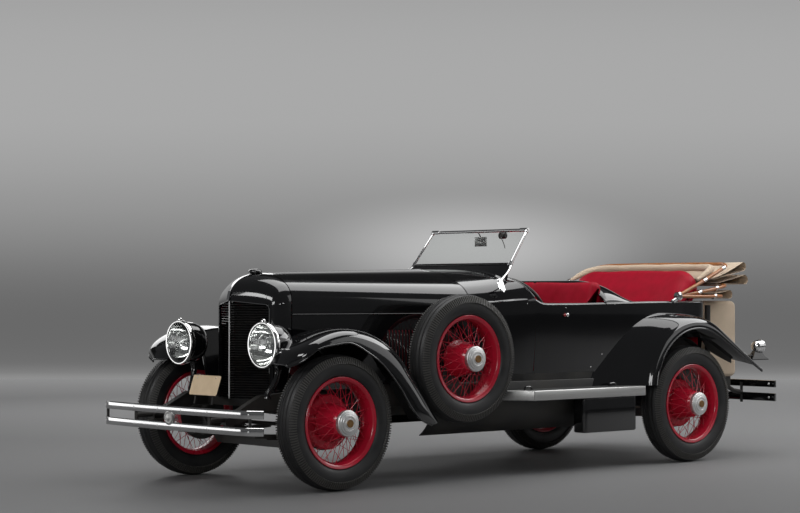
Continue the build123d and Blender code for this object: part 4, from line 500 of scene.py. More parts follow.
def make_wheel(name, centre, outward, drum):
    """Laced wheel with hub, cap and nut, drawn at the origin and then set in its place."""
    nut = ([Vector((0.0235 * cos(pi / 12 * k), 0.149 if top else 0.1435, 0.0235 * sin(pi / 12 * k)))
            for top in (0, 1) for k in range(24)],
           [(k, k + 24, (k + 1) % 24 + 24, (k + 1) % 24) for k in range(24)] + [tuple(range(47, 23, -1))])
    shapes = [lathe(rim_outline, 128), lathe(hub_outline, 72)]
    finishes = [crimson_enamel, crimson_enamel]
    if drum:
        shapes.append(lathe(drum_outline, 72))
        finishes.append(crimson_enamel)
    shapes += [lathe(cap_outline, 72, closed=False), nut]
    finishes += [satin_plating, worn_brass]
    made = build(name, shapes, *finishes, sharp=35)
    for hub_radius, hub_offset, rim_offset, lean, start in spoke_rows:
        grow(made, spoke_tree, spoke_sockets, Spokes=spokes_in_row, Hub_Radius=hub_radius - 0.003,
             Hub_Offset=hub_offset, Rim_Radius=0.2385, Rim_Offset=rim_offset, Lean=radians(lean),
             Start=radians(start), Wire=0.0017, Enamel=crimson_enamel)
    made.data.transform(Matrix.Translation(centre) @ Matrix.Rotation(0 if outward > 0 else pi, 4, "Z"))
    return made


for corner, outward in corners.items():
    tyre_middle = middle_of(f"tyre_{corner}")
    road_wheel = make_wheel(f"laced_wheel_{corner}", tyre_middle, outward, True)
    fasten(road_wheel, f"wheel_{corner}", "red_enamel", f"wheel_{corner}")
for side, spare_name in ((1, "laced_spare_left"), (-1, "laced_spare_right")):
    fasten(make_wheel(spare_name, spare_places[side], side, False), "chassis", "red_enamel", "spare_wheels")

# Chassis: pressed rails, springs, axles, knuckles and pan, brushed with satin black and dusty from the road.
# The engine block and exhaust keep their bare castings and pipe.
satin_nodes = ("frame_rails", "cross_members", "leaf_springs", "front_axle", "rear_axle", "knuckle_left",
               "knuckle_right", "tie_rod", "fuel_tank", "floor", "wheel_houses", "spare_posts",
               "steering_column")
node_finishes = {node: chassis_paint for node in satin_nodes}
node_finishes.update(engine=cast_iron, exhaust=dull_pipe)
for node, finish in node_finishes.items():
    cad[node].data.materials.clear()
    cad[node].data.materials.append(finish)

# Front fenders: pressed steel arches with a wired edge, each bolted to the rail by its inner panel.
# The crown is widest over the hub, narrows to a rounded tip ahead and flares out flat at the tail.


def through(points, count):
    """Points on a smooth curve that passes through the given ones."""
    points = [Vector(point) for point in points]
    last = len(points) - 1
    made = []
    for step in range(count):
        place = step / (count - 1) * last
        k = min(int(place), last - 1)
        t = place - k
        a, b, c, d = points[max(k - 1, 0)], points[k], points[k + 1], points[min(k + 2, last)]
        made.append(0.5 * (2 * b + (c - a) * t + (2 * a - 5 * b + 4 * c - d) * t ** 2
                           + (3 * b - a - 3 * c + d) * t ** 3))
    return made


def mirrored(shape):
    """The same shape on the other side of the car."""
    points, faces = shape
    flipped = [Vector((point.x, -point.y, point.z)) for point in points]
    return flipped, [tuple(reversed(face)) for face in faces]


def pair(*shapes):
    """Each shape and its likeness on the other side of the car."""
    return [half for shape in shapes for half in (shape, mirrored(shape))]


def away_from(shape, inside):
    """Turns the faces of a shape so that most look away from an inner point."""
    points, faces = shape
    lean = 0
    for face in faces:
        a, b, c = (points[corner] for corner in face[:3])
        lean += (b - a).cross(c - a).dot((a + c) / 2 - Vector(inside))
    return shape if lean > 0 else (points, [tuple(reversed(face)) for face in faces])


def tube(path, radius, sides=10, closed=False):
    """Round bar along a path; radius is a number or one value for each point."""
    path = [Vector(point) for point in path]
    radii = [radius] * len(path) if isinstance(radius, (int, float)) else radius
    rows = []
    side_way = None
    for k, point in enumerate(path):
        before = path[k - 1] if closed or k else path[0]
        after = path[(k + 1) % len(path)] if closed or k + 1 < len(path) else path[-1]
        heading = (after - before).normalized()
        if side_way is None:
            side_way = heading.orthogonal().normalized()
        side_way = (side_way - heading * side_way.dot(heading)).normalized()
        other = heading.cross(side_way)
        rows.append([point + (side_way * cos(2 * pi * j / sides) + other * sin(2 * pi * j / sides)) * radii[k]
                     for j in range(sides)])
    points, faces = skin(rows, ring=True, loop=closed)
    if not closed:
        faces.append(tuple(range(sides - 1, -1, -1)))
        faces.append(tuple(range(len(points) - sides, len(points))))
    return points, faces


def bake(made):
    """Keeps the result of an object's modifiers as its plain mesh."""
    bpy.context.view_layer.update()
    finished = bpy.data.meshes.new_from_object(made.evaluated_get(bpy.context.evaluated_depsgraph_get()))
    made.modifiers.clear()
    made.data = finished
    return made


def thicken(made, depth):
    """Gives a skin the depth of its sheet, on the inner side."""
    sheet = made.modifiers.new("sheet", "SOLIDIFY")
    sheet.thickness = depth
    sheet.offset = -1
    bake(made)
    made.data.set_sharp_from_angle(angle=radians(40))
    return made


def fit(name, shapes, finish, slot_name, *nodes, sheet=0, **shading):
    """Builds a piece of the car's fixed body, gives it the depth of its sheet and fastens it."""
    made = build(name, shapes, finish, **shading)
    if sheet:
        thicken(made, sheet)
    return fasten(made, "chassis", slot_name, *nodes)


crown_line = [(0.340, 0.615, 0.755), (0.312, 0.64, 0.832), (0.2205, 0.655, 0.895), (0.0928, 0.66, 0.945),
              (-0.043, 0.66, 0.966), (-0.2003, 0.66, 0.950), (-0.3485, 0.66, 0.895), (-0.4773, 0.66, 0.803),
              (-0.578, 0.66, 0.681), (-0.66, 0.66, 0.58), (-0.735, 0.66, 0.475), (-0.80, 0.66, 0.385)]
lip_line = [(0.332, 0.69, 0.738), (0.298, 0.785, 0.775), (0.205, 0.822, 0.845), (0.070, 0.83, 0.872),
            (-0.046, 0.83, 0.875), (-0.170, 0.83, 0.818), (-0.275, 0.83, 0.752), (-0.358, 0.83, 0.674),
            (-0.433, 0.83, 0.590), (-0.505, 0.83, 0.490), (-0.590, 0.828, 0.405), (-0.700, 0.81, 0.362)]
inner_line = [(0.325, 0.53, 0.764), (0.296, 0.505, 0.822), (0.214, 0.50, 0.883), (0.089, 0.50, 0.932),
              (-0.043, 0.50, 0.952), (-0.197, 0.50, 0.937), (-0.342, 0.50, 0.883), (-0.468, 0.50, 0.793),
              (-0.566, 0.50, 0.674), (-0.647, 0.50, 0.575), (-0.722, 0.50, 0.470), (-0.79, 0.50, 0.382)]
fender_rows = []
panel_rows = []
for inner, crown, lip in zip(through(inner_line, 84), through(crown_line, 84), through(lip_line, 84)):
    row = []
    for k in range(8):
        ease = sin(k / 8 * pi / 2)
        row.append(at(inner.x + (crown.x - inner.x) * ease, inner.y + (crown.y - inner.y) * k / 8,
                      inner.z + (crown.z - inner.z) * ease))
    for k in range(19):
        out = sin(k / 18 * pi / 2) ** 0.66
        drop = 1 - max(0.0, cos(k / 18 * pi / 2)) ** 0.66
        row.append(at(crown.x + (lip.x - crown.x) * drop, crown.y + (lip.y - crown.y) * out,
                      crown.z + (lip.z - crown.z) * drop))
    fender_rows.append(row)
    if -0.60 < inner.x < 0.12:
        panel_rows.append([at(inner.x, 0.50 - 0.105 * k / 4, inner.z + (0.583 - inner.z) * k / 4)
                           for k in range(5)])
fender_skin = away_from(skin(fender_rows), at(-0.064, 0.62, 0.36))
panel_skin = away_from(skin(panel_rows), at(-0.2, 0.9, 0.6))
fit("front_fender_skins", pair(fender_skin, panel_skin), black_lacquer, "black_paint", "front_fenders",
    sheet=0.004)
fender_edge = tube([row[-1] for row in fender_rows], 0.0058, 10)
fender_nose = tube([point for point in fender_rows[0]], 0.0058, 10)
fit("front_fender_wired_edges", pair(fender_edge, fender_nose), black_lacquer, "black_paint")

# Rear fenders: arches beaten out of sheet steel from the body side, with a rolled crown, a flat flange
# and a pointed tail. A wire is rolled into the edge, and a black apron closes the tail below.
# offset across, arch centre along and up, radius, tail along and up
rear_sections = [(0.625, -2.945, 0.310, 0.730, -3.790, 0.700), (0.735, -3.110, 0.440, 0.588, -3.840, 0.672),
                 (0.800, -3.172, 0.498, 0.506, -3.870, 0.650), (0.832, -3.178, 0.492, 0.478, -3.872, 0.630),
                 (0.837, -3.178, 0.492, 0.437, -3.872, 0.612)]
fender_foot = 0.546
rear_rows = []
for offset, arch_x, arch_z, radius, tail_x, tail_z in through(rear_sections, 33):
    start = asin((fender_foot - arch_z) / radius)
    gap = hypot(tail_x - arch_x, tail_z - arch_z)
    leave = atan2(tail_z - arch_z, tail_x - arch_x) - acos(radius / gap)
    row = [at(arch_x + radius * cos(start + (leave - start) * k / 44), offset,
              arch_z + radius * sin(start + (leave - start) * k / 44)) for k in range(45)]
    end = row[-1]
    row += [end.lerp(at(tail_x, offset, tail_z), k / 14) for k in range(1, 15)]
    rear_rows.append(row)
rear_skin = away_from(skin(rear_rows), at(-3.175, 0.6, 0.4))
fit("rear_fender_skins", pair(rear_skin), black_lacquer, "black_paint", "rear_fenders", sheet=0.004)
rear_edge = tube(rear_rows[-1], 0.0055, 10)
rear_tail = tube([row[-1] for row in rear_rows], 0.005, 10)
fit("rear_fender_wired_edges", pair(rear_edge, rear_tail), black_lacquer, "black_paint")
apron_drop = 0.068
apron_rows = []
for k, point in enumerate(rear_rows[0][-11:]):
    hang = apron_drop * sin(pi / 2 * min(1, k / 4)) * (1 - 0.005 * k * k)
    apron_rows.append([point, point - Vector((0, 0, hang))])
apron_skin = away_from(skin(apron_rows), at(-3.5, 0.3, 0.7))
fit("rear_fender_tail_aprons", pair(apron_skin), chassis_paint, "black_paint", sheet=0.003)

# Hood: two hinged lids of sheet steel on upright sides; each side has a bank of pressed louvres.
# The lids meet along a rod hinge on the middle line and shut on a fold at the top of the sides.
hood_length = 1.32
hood_half = 0.305
hood_flare = 0.195
side_foot = 0.601
side_height = 0.4455


def dome_line(half_width, shoulder, top, low):
    """Half section of the hood or cowl, from low on the upright side over the shoulder to the middle."""
    bend = radians(60)
    crown = (half_width - shoulder + shoulder * cos(bend)) / cos(bend)
    spring = top - shoulder * sin(bend) - crown * (1 - sin(bend))
    line = [(half_width, low + (spring - low) * k / 6) for k in range(6)]
    line += [(half_width - shoulder + shoulder * cos(bend * k / 16), spring + shoulder * sin(bend * k / 16))
             for k in range(16)]
    for k in range(17):
        turn = bend + (pi / 2 - bend) * k / 16
        line.append((crown * cos(turn), top - crown + crown * sin(turn)))
    return line


def hood_section(along, low):
    """Hood section at a share of its length from the radiator back."""
    return dome_line(hood_half + hood_flare * along, 0.130 + 0.040 * along, 1.300 + 0.030 * along, low)


lid_rows = []
side_rows = []
for step in range(29):
    along = 0.0042 + 0.9915 * step / 28
    lid_rows.append([at(-hood_length * along, max(y, 0.0068), z) for y, z in hood_section(along, 1.0515)])
    side_y = hood_half + hood_flare * along
    side_rows.append([at(-hood_length * along, side_y, side_foot + side_height * k / 6) for k in range(7)])
lid_skin = away_from(skin(lid_rows), at(-0.7, 0, 0.9))
lid_fold = tube([row[0] + Vector((0, -0.004, 0.004)) for row in lid_rows], 0.0042, 8)
for lid_name, shape in (("hood_left", lid_skin), ("hood_right", mirrored(lid_skin))):
    lid = thicken(build(f"{lid_name}_lid", [shape], black_lacquer), 0.004)
    fasten(lid, lid_name, "black_paint", lid_name)
for lid_name, shape in (("hood_left", lid_fold), ("hood_right", mirrored(lid_fold))):
    fasten(build(f"{lid_name}_fold", [shape], black_lacquer), lid_name, "black_paint")
side_skin = away_from(skin(side_rows), at(-0.7, 0, 0.9))
fit("hood_side_panels", pair(side_skin), black_lacquer, "black_paint", "hood_sides", sheet=0.004)
ledge_profile = ((0.0040, -0.016), (0.0100, -0.010), (0.0100, 0.016))
ledge_rows = [[row[-1] + Vector((0, -inset, rise)) for inset, rise in ledge_profile] for row in side_rows]
ledge_bead = tube([row[-1] + Vector((0, 0.0006, -0.004)) for row in side_rows], 0.0040, 10)
ledge_skin = skin(ledge_rows)
fit("hood_side_ledges", pair(ledge_skin, ledge_bead), black_lacquer, "black_paint")

# Louvres of the hood sides: a row of slots, each with one lip pressed out of the steel.
# The throat behind each lip is coloured dark red; a node tree repeats both along the panel.
row_inputs = (("Piece", "Object"), ("Count", "Int"), ("Start", "Vector"), ("Step", "Vector"),
              ("Finish", "Material"))
row_tree, row_in, row_sockets = new_group("row_of_pieces", "GeometryNodeTree", row_inputs, geometry)
row_line = wire(row_tree, "GeometryNodeMeshLine", {"Count": row_in["Count"],
                                                   "Start Location": row_in["Start"],
                                                   "Offset": row_in["Step"]}, mode="OFFSET")
row_piece = wire(row_tree, "GeometryNodeObjectInfo", {"Object": row_in["Piece"]})
copies(row_tree, row_line.outputs["Mesh"], row_piece.outputs["Geometry"], row_in["Finish"])


def repeat(name, pattern, count, start, step, finish):
    """Row of copies of a shape, made by the row tree; the pattern object is removed."""
    master = build(f"{name}_pattern", [pattern], finish)
    made = build(name, [([], [])], finish)
    grow(made, row_tree, row_sockets, Piece=master, Count=count, Start=tuple(start), Step=tuple(step),
         Finish=finish)
    bpy.data.objects.remove(master)
    return made


louvre_half = 0.12
louvre_count = 22
louvre_pitch = 0.0245
louvre_middle = -0.950
louvre_profile = ((0.009, 0.0003), (0.004, 0.0040), (-0.001, 0.0075), (-0.0035, 0.0085), (-0.0035, 0.0062))
louvre_turn = Matrix.Rotation(-atan2(hood_flare, hood_length), 3, "Z")
louvre_rows = []
throat_rows = []
for k in range(13):
    height = louvre_half * (k / 6 - 1)
    swell = min(1.0, sqrt(max(0.0, 1 - abs(height / louvre_half) ** 6)) + 0.05)
    louvre_rows.append([louvre_turn @ Vector((x, y * swell, height)) for x, y in louvre_profile])
    throat_rows.append([louvre_turn @ Vector((x, 0.0012 * swell, height)) for x in (-0.0035, -0.0115)])
louvre_lip = away_from(skin(louvre_rows), (0, -1, 0))
louvre_throat = away_from(skin(throat_rows), (0, -1, 0))
louvre_step = Vector((-louvre_pitch, louvre_pitch * hood_flare / hood_length, 0))
louvre_x = louvre_middle + louvre_pitch * (louvre_count - 1) / 2
louvre_start = at(louvre_x, hood_half - hood_flare * louvre_x / hood_length, 0.82)
red_throat = surface("red_throat", (0.16, 0.004, 0.008), (0.10, 0.003, 0.006), 0.3, 0.4, 8, 0.0001)
for side_name, flip in (("left", 1), ("right", -1)):
    across = Vector((1, flip, 1))
    lip_shape = louvre_lip if flip > 0 else mirrored(louvre_lip)
    throat_shape = louvre_throat if flip > 0 else mirrored(louvre_throat)
    fasten(repeat(f"louvre_lips_{side_name}", lip_shape, louvre_count, louvre_start * across,
                  louvre_step * across, black_lacquer), "chassis", "black_paint")
    fasten(repeat(f"louvre_throats_{side_name}", throat_shape, louvre_count, louvre_start * across,
                  louvre_step * across, red_throat), "chassis", "red_enamel")

# Radiator: a black shell rolled over a veed bank of level slats, with a bright strip down the vee.
# A bright bead runs along the top of the slats; a low filler cap and a bare badge plate sit on the nose.
outline = dome_line(0.305, 0.130, 1.300, 0.526)
mouth = [(0.256, 0.526 + (1.075 - 0.526) * k / 6) for k in range(6)]
mouth += [(0.226 + 0.030 * cos(pi / 2 * k / 16), 1.075 + 0.030 * sin(pi / 2 * k / 16)) for k in range(16)]
mouth += [(0.226 * (1 - k / 16), 1.105 + 0.022 * (k / 16)) for k in range(17)]


def vee(y):
    """Place of the slat fronts along the car at an offset across it."""
    return 0.238 - 0.116 * abs(y) / 0.255


shell_rows = []
for (y, z), (mouth_y, mouth_z) in zip(outline, mouth):
    front = vee(mouth_y) + 0.012
    row = []
    for k in range(21):
        forth = sin(k / 20 * pi / 2)
        turn_in = 1 - cos(k / 20 * pi / 2)
        row.append(at(0.001 + (front - 0.001) * forth, y + (mouth_y - y) * turn_in,
                      z + (mouth_z - z) * turn_in))
    row.append(at(front - 0.018, mouth_y - 0.002, mouth_z - 0.002))
    shell_rows.append(row)
whole_shell = shell_rows + [[Vector((p.x, -p.y, p.z)) for p in row] for row in reversed(shell_rows[:-1])]
shell_skin = away_from(skin(whole_shell), at(-0.3, 0, 0.8))
fit("radiator_case", [shell_skin], black_lacquer, "black_paint", "radiator_shell", sheet=0.004, sharp=60)

slat_profile = ((0.004, -0.0050), (0.0045, -0.0035), (-0.014, 0.0048), (-0.016, 0.0040))
slat_rows = []
for y in [-0.254 + 0.508 * k / 24 for k in range(25)]:
    x = vee(y)
    slat_rows.append([Vector((x + dx, y, dz)) for dx, dz in slat_profile])
slat_shape = away_from(skin(slat_rows, ring=True), (0, 0, -1))
slat_pitch = 0.0152
slats = repeat("radiator_slats_bank", slat_shape, 39, at(0, 0, 0.533), (0, 0, slat_pitch), black_lacquer)
fasten(slats, "chassis", "black_paint", "radiator_slats")
core_rows = [[at(vee(y) - 0.03, y, z) for z in (0.53, 1.105)] for y in (-0.254, 0, 0.254)]
fit("radiator_core", [away_from(skin(core_rows), at(-0.4, 0, 0.8))], cast_iron, "black_paint")
strip_rows = [[at(0.2415 + 0.004 * sin(pi * k / 6), 0.0055 * cos(pi * k / 6), z) for k in range(7)]
              for z in (0.53, 1.13)]
centre_strip = away_from(skin(strip_rows), at(0, 0, 0.8))
mouth_bead = tube([at(vee(y) + 0.0125, y, z - 0.001) for y, z in mouth[6:]]
                  + [at(vee(y) + 0.0125, -y, z - 0.001) for y, z in reversed(mouth[6:-1])], 0.0026, 8)
badge_rows = [[at(0.2565 - 0.19 * (z - 1.133) - 1.1 * (z - 1.133) ** 2, y, z)
               for y in (-0.013, -0.011, 0.011, 0.013)] for z in (1.133, 1.137, 1.160, 1.183, 1.187)]
badge = away_from(skin(badge_rows), at(0, 0, 1.1))
fit("radiator_bright_trim", [centre_strip, mouth_bead, badge], bright_plating, "bright_plate")
cap_profile = [(0.0, 0.030), (0.022, 0.029), (0.036, 0.025), (0.043, 0.018), (0.045, 0.011),
               (0.043, 0.006), (0.034, 0.003), (0.030, -0.006), (0.030, -0.02)]
upright = Matrix.Rotation(pi / 2, 4, "X")


def moved(shape, matrix):
    """Shape carried by a matrix."""
    points, faces = shape
    return [matrix @ point for point in points], faces


def spun(outline, steps, seat, inside):
    """Open outline turned about its axle and set in its seat, with faces that look away from a point."""
    return away_from(moved(lathe(outline, steps, closed=False), seat), inside)


cap_seat = Matrix.Translation(at(0.045, 0, 1.293)) @ upright
filler_cap = spun(cap_profile, 48, cap_seat, at(0.045, 0, 1.285))
fit("radiator_filler_cap", [filler_cap], black_lacquer, "black_paint")

# Cowl and body: one steel tub behind the hood, rolled over a wire along the cockpit edge.
# Below the roll runs a fine bright line; inside, the walls are trimmed with crimson hide.
side_plan = [(-1.32, 0.5), (-1.42, 0.5293), (-1.52, 0.5557), (-1.62, 0.5793), (-1.72, 0.6), (-1.82, 0.618),
             (-1.92, 0.6332), (-2.02, 0.6457), (-2.15, 0.658), (-2.28, 0.6666), (-2.4, 0.672),
             (-2.5, 0.6746), (-2.6, 0.6755), (-2.7, 0.6748), (-2.8, 0.6723), (-2.9, 0.6681),
             (-2.96, 0.6648), (-3.05, 0.6586), (-3.15, 0.6502), (-3.25, 0.640)]


def between(line, place):
    """Value at a place on a line of (place, value) points with falling places."""
    for (place_1, value_1), (place_2, value_2) in zip(line, line[1:]):
        if place >= place_2:
            return value_1 + (value_2 - value_1) * (place_1 - place) / (place_1 - place_2)
    return line[-1][1]


def plan_y(x):
    """Half width of the body at a place along it."""
    return between(side_plan, x)


# cockpit edge along the body: place along, height
edge_line = [(-1.800, 1.142), (-1.822, 1.121), (-1.862, 1.109), (-1.92, 1.107), (-2.20, 1.107),
             (-2.60, 1.113), (-2.85, 1.117), (-3.25, 1.117)]
cowl_foot = edge_line[0][0]
tail_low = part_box("body_back")[0]
tail_x = tail_low.x - front_axle
side_end, tail_half = side_plan[-1]
tail_edge = edge_line[-1][1]
flat_half = 0.350
corner_squareness = 0.25
ease_over = (-0.02, -0.01, 0, 0.01, 0.02)
plan_path = []
for step in range(100):
    x = cowl_foot + (side_end - cowl_foot) * step / 99
    eased_z = sum(between(edge_line, min(cowl_foot, x + shift)) for shift in ease_over) / len(ease_over)
    slope = (plan_y(x - 0.02) - plan_y(x + 0.02)) / 0.04
    plan_path.append((Vector((x, plan_y(x), 0)), Vector((slope, 1, 0)).normalized(), eased_z))
for step in range(1, 17):
    turn = pi / 2 * step / 16
    spot_x = side_end + (tail_x - side_end) * sin(turn) ** corner_squareness
    spot_y = tail_half - (tail_half - flat_half) * (1 - cos(turn) ** corner_squareness)
    plan_path.append((Vector((spot_x, spot_y, 0)), Vector((-sin(turn), cos(turn), 0)), tail_edge))
for step in range(1, 9):
    plan_path.append((Vector((tail_x, flat_half * (1 - step / 8), 0)), Vector((-1, 0, 0)), tail_edge))

outer_rows, inner_rows, line_path = [], [], []
sill = 0.645
arch_start = -2.72
arch_sill = 0.86
edge_roll = 0.009


def tuck(z):
    """How far the body side has curved under the car at a height."""
    return 0.028 * max(0.0, 1 - (z - sill) / 0.40) ** 2


for spot, out, top in plan_path:
    low = sill if spot.x > arch_start else max(sill, min(arch_sill, sill + (arch_start - spot.x) * 1.2))
    if spot.y < 0.62 and spot.x < side_end:
        low = min(0.72, tail_low.z)
    row = []
    for share in [k / 7 for k in range(7)] + [0.985, 1.0]:
        z = low + (top - edge_roll - low) * share
        row.append(at(spot.x, spot.y, z) - out * tuck(z))
    for k in range(1, 13):
        turn = pi * k / 12
        middle = at(spot.x, spot.y, top - edge_roll) - out * edge_roll
        row.append(middle + out * edge_roll * cos(turn) + Vector((0, 0, edge_roll * sin(turn))))
    row.append(at(spot.x, spot.y, top - 0.045) - out * 0.04)
    outer_rows.append(row)
    inner_foot = max(0.66, low + 0.005)
    inner_rows.append([at(spot.x, spot.y, top - 0.030 + (inner_foot - top + 0.030) * k / 7)
                       - out * (0.0385 + 0.010 * sin(pi * k / 7)) for k in range(8)])
    line_path.append(at(spot.x, spot.y, top - 0.010) + out * 0.0008)
tub_left = away_from(skin(outer_rows), at(-2.5, 0, 0.8))
trim_left = away_from(skin(inner_rows), at(-2.5, 0, 0.8))
trim_left = (trim_left[0], [tuple(reversed(face)) for face in trim_left[1]])
fit("body_tub", pair(tub_left), black_lacquer, "black_paint", "body_sides", "body_back", sharp=60)
edge_shape = tube(line_path[:-8], 0.0018, 6)
fit("cockpit_bright_line", pair(edge_shape), bright_plating, "bright_plate")
crimson_hide = surface("crimson_hide", (0.37, 0.002, 0.019), (0.30, 0.002, 0.014), 0.45, 0.58, 14, 0.0004)
crimson_hide.node_tree.nodes["Principled BSDF"].inputs["Specular IOR Level"].default_value = 0.14
fit("cockpit_side_trim", pair(trim_left), crimson_hide, "red_leather")

# cockpit edge on the cowl: height, place along
cowl_edge = [(1.345, -1.650), (1.325, -1.668), (1.290, -1.700), (1.2457, -1.735), (1.200, -1.761),
             (1.165, -1.782), (1.142, cowl_foot)]
cowl_top = 1.338
cowl_belt = 1.049
cowl_half = 0.612
edge_foot = edge_line[0][1]
cowl_front = dome_line(hood_half + hood_flare, 0.170, 1.330, cowl_belt)
cowl_back = []
for y, z in dome_line(cowl_half, 0.170, cowl_top, cowl_belt):
    square = cowl_belt + (cowl_top - cowl_belt) * max(0.0, 1 - (y / cowl_half) ** 3.3) ** (1 / 3.3)
    cowl_back.append((y, max(z, square)))


def cowl_x(k):
    """Place along the car of one of the 21 cuts through the side of the cowl."""
    return -hood_length - 0.002 + (cowl_foot + hood_length + 0.002) * k / 20


cowl_rows = []
cowl_roll = []
for (y1, z1), (y2, z2) in zip(cowl_front, cowl_back):
    reach = between(cowl_edge, z2) + hood_length
    row = []
    for k in range(21):
        share = k / 20 * reach / (cowl_foot + hood_length)
        swell = share ** 1.5
        x = -hood_length - 0.002 + reach * k / 20
        row.append(at(x, min(y1 + (y2 - y1) * share, plan_y(x) + 0.004), z1 + (z2 - z1) * swell))
    if z2 < edge_foot:
        row = [at(cowl_x(k), plan_y(cowl_x(k)), z1 + (z2 - z1) * k / 20) for k in range(21)]
    cowl_rows.append(row)
    cowl_roll.append(row[-1])
below_rows = []
for j in range(8):
    z = sill + (cowl_belt - sill) * j / 8
    below_rows.append([at(cowl_x(k), plan_y(cowl_x(k)) - tuck(z) * k / 20, z) for k in range(21)])
cowl_left = away_from(skin(below_rows + cowl_rows), at(-1.5, 0, 0.8))
fit("cowl_case", pair(cowl_left), black_lacquer, "black_paint", "cowl", sheet=0.004, sharp=60)
wire_path = [point + Vector((-0.002, -0.004, -0.004)) for point in cowl_roll if point.z > edge_foot]
cowl_wire = tube(wire_path, 0.008, 12)
hinge_bar = tube([at(-0.002, 0, 1.2985), at(-hood_length - 0.01, 0, 1.3285)], 0.0055, 12)
fit("cowl_rolled_edge", [cowl_wire, mirrored(cowl_wire), hinge_bar], black_lacquer, "black_paint")

# Deck between the cockpits: one arched panel over the front seat back, painted like the body.
# It springs from the level belt on both sides, stands up round the seat and falls in a hollow sweep behind.
deck_crest = [(-2.412, 1.214), (-2.420, 1.236), (-2.444, 1.253), (-2.484, 1.261), (-2.530, 1.254),
              (-2.578, 1.230), (-2.628, 1.194), (-2.680, 1.158), (-2.732, 1.130), (-2.790, 1.114)]
deck_shoulder = 0.38
deck_rows = []
for point in through([Vector((x, 0, z)) for x, z in deck_crest], 40):
    half = plan_y(point.x) - 0.002
    belt = between(edge_line, point.x) - 0.012
    row = []
    for k in range(49):
        turn = pi / 2 * (k / 24 - 1)
        y = half * sin(turn)
        fall = max(0.0, abs(y) - half + deck_shoulder) / deck_shoulder
        row.append(at(point.x, y, belt + (point.z - belt) * sqrt(max(0.0, 1 - fall ** 2))))
    deck_rows.append(row)
deck_skin = away_from(skin(deck_rows), at(-2.50, 0, 0.6))
fit("cockpit_deck", [deck_skin], black_lacquer, "black_paint", "bulkhead", sheet=0.005)
wall_foot = 0.74
seat_wall = []
for k in range(4):
    seat_wall.append([Vector((point.x - 0.050, point.y * 0.98,
                              wall_foot + (point.z - 0.012 - wall_foot) * k / 3)) for point in deck_rows[0]])
seat_wall = away_from(skin(seat_wall), at(-2.9, 0, 0.9))
fit("front_cockpit_back_trim", [seat_wall], crimson_hide, "red_leather", "bulkhead", sheet=0.005)
deck_piping = tube(deck_rows[0], 0.0085, 10)
fit("cockpit_deck_piping", [deck_piping], black_lacquer, "black_paint")

# Boards and aprons: aluminium-edged planks beside the sills, black splash aprons and tool boxes below.
# Ribbed rubber is cemented along the top of each board.


def polish(name, node, finish, width, segments=2):
    """Copy of a solid with its flats merged and each edge eased by a small round."""
    mesh = cad[node].data.copy()
    mesh.transform(cad[node].matrix_world)
    mesh.materials.clear()
    mesh.materials.append(finish)
    work = bmesh.new()
    work.from_mesh(mesh)
    bmesh.ops.remove_doubles(work, verts=work.verts, dist=0.00002)
    bmesh.ops.dissolve_limit(work, angle_limit=radians(1), verts=work.verts, edges=work.edges)
    bmesh.ops.recalc_face_normals(work, faces=work.faces)
    work.to_mesh(mesh)
    work.free()
    mesh.polygons.foreach_set("material_index", [0] * len(mesh.polygons))
    mesh.shade_smooth()
    made = bpy.data.objects.new(name, mesh)
    bpy.context.scene.collection.objects.link(made)
    easing = made.modifiers.new("easing", "BEVEL")
    easing.width = width
    easing.segments = segments
    easing.limit_method = "ANGLE"
    easing.angle_limit = radians(35)
    easing.use_clamp_overlap = True
    bake(made)
    made.data.shade_smooth()
    made.data.set_sharp_from_angle(angle=radians(50))
    return made


fasten(polish("running_board_planks", "running_boards", step_metal, 0.006, 3), "chassis", "step_aluminium",
       "running_boards")
fasten(polish("splash_aprons", "side_aprons", chassis_paint, 0.003), "chassis", "black_paint", "side_aprons")
fasten(polish("tool_boxes", "board_boxes", black_lacquer, 0.012, 4), "chassis", "black_paint", "board_boxes")
mat_rubber = surface("mat_rubber", (0.02, 0.02, 0.02), (0.035, 0.034, 0.032), 0.6, 0.75, 10, 0.0004)
rib = tube([Vector((-1.60, 0, 0)), Vector((-2.60, 0, 0))], 0.0035, 6)
for side_name, flip in (("left", 1), ("right", -1)):
    mat = repeat(f"board_mat_{side_name}", rib, 11, at(0, flip * 0.667, 0.5455), (0, flip * 0.0125, 0),
                 mat_rubber)
    fasten(mat, "chassis", "step_aluminium")

# Headlamps: deep spun bowls, black behind a plated rim, with a silvered reflector and a fluted lens.
# Each stands on a curved post from the rail.
lamp_x, lamp_y, lamp_z = 0.315, 0.428, 0.864
forward = Matrix.Rotation(-pi / 2, 4, "Z")
bowl = [(0.0, -0.180), (0.022, -0.179), (0.052, -0.174), (0.080, -0.163), (0.103, -0.143), (0.119, -0.115),
        (0.128, -0.080), (0.131, -0.04), (0.1315, -0.020)]
rim = [(0.128, -0.026), (0.1365, -0.0255), (0.1395, -0.022), (0.1410, -0.010), (0.1410, 0.0),
       (0.1380, 0.0070), (0.1310, 0.0085), (0.1245, 0.0065), (0.1225, 0.0015), (0.1225, -0.006)]
reflector = [(0.1235, -0.002), (0.118, -0.030), (0.105, -0.060), (0.082, -0.090), (0.05, -0.110),
             (0.018, -0.118), (0.0, -0.119)]
clear_glass = new_material("clear_glass", Base_Color=(0.97, 0.99, 0.98, 1), Transmission_Weight=1, IOR=1.45,
                           Roughness=0.0)[0]
lens_radius = 0.1232
lens_rings = 24
lens_rows = []
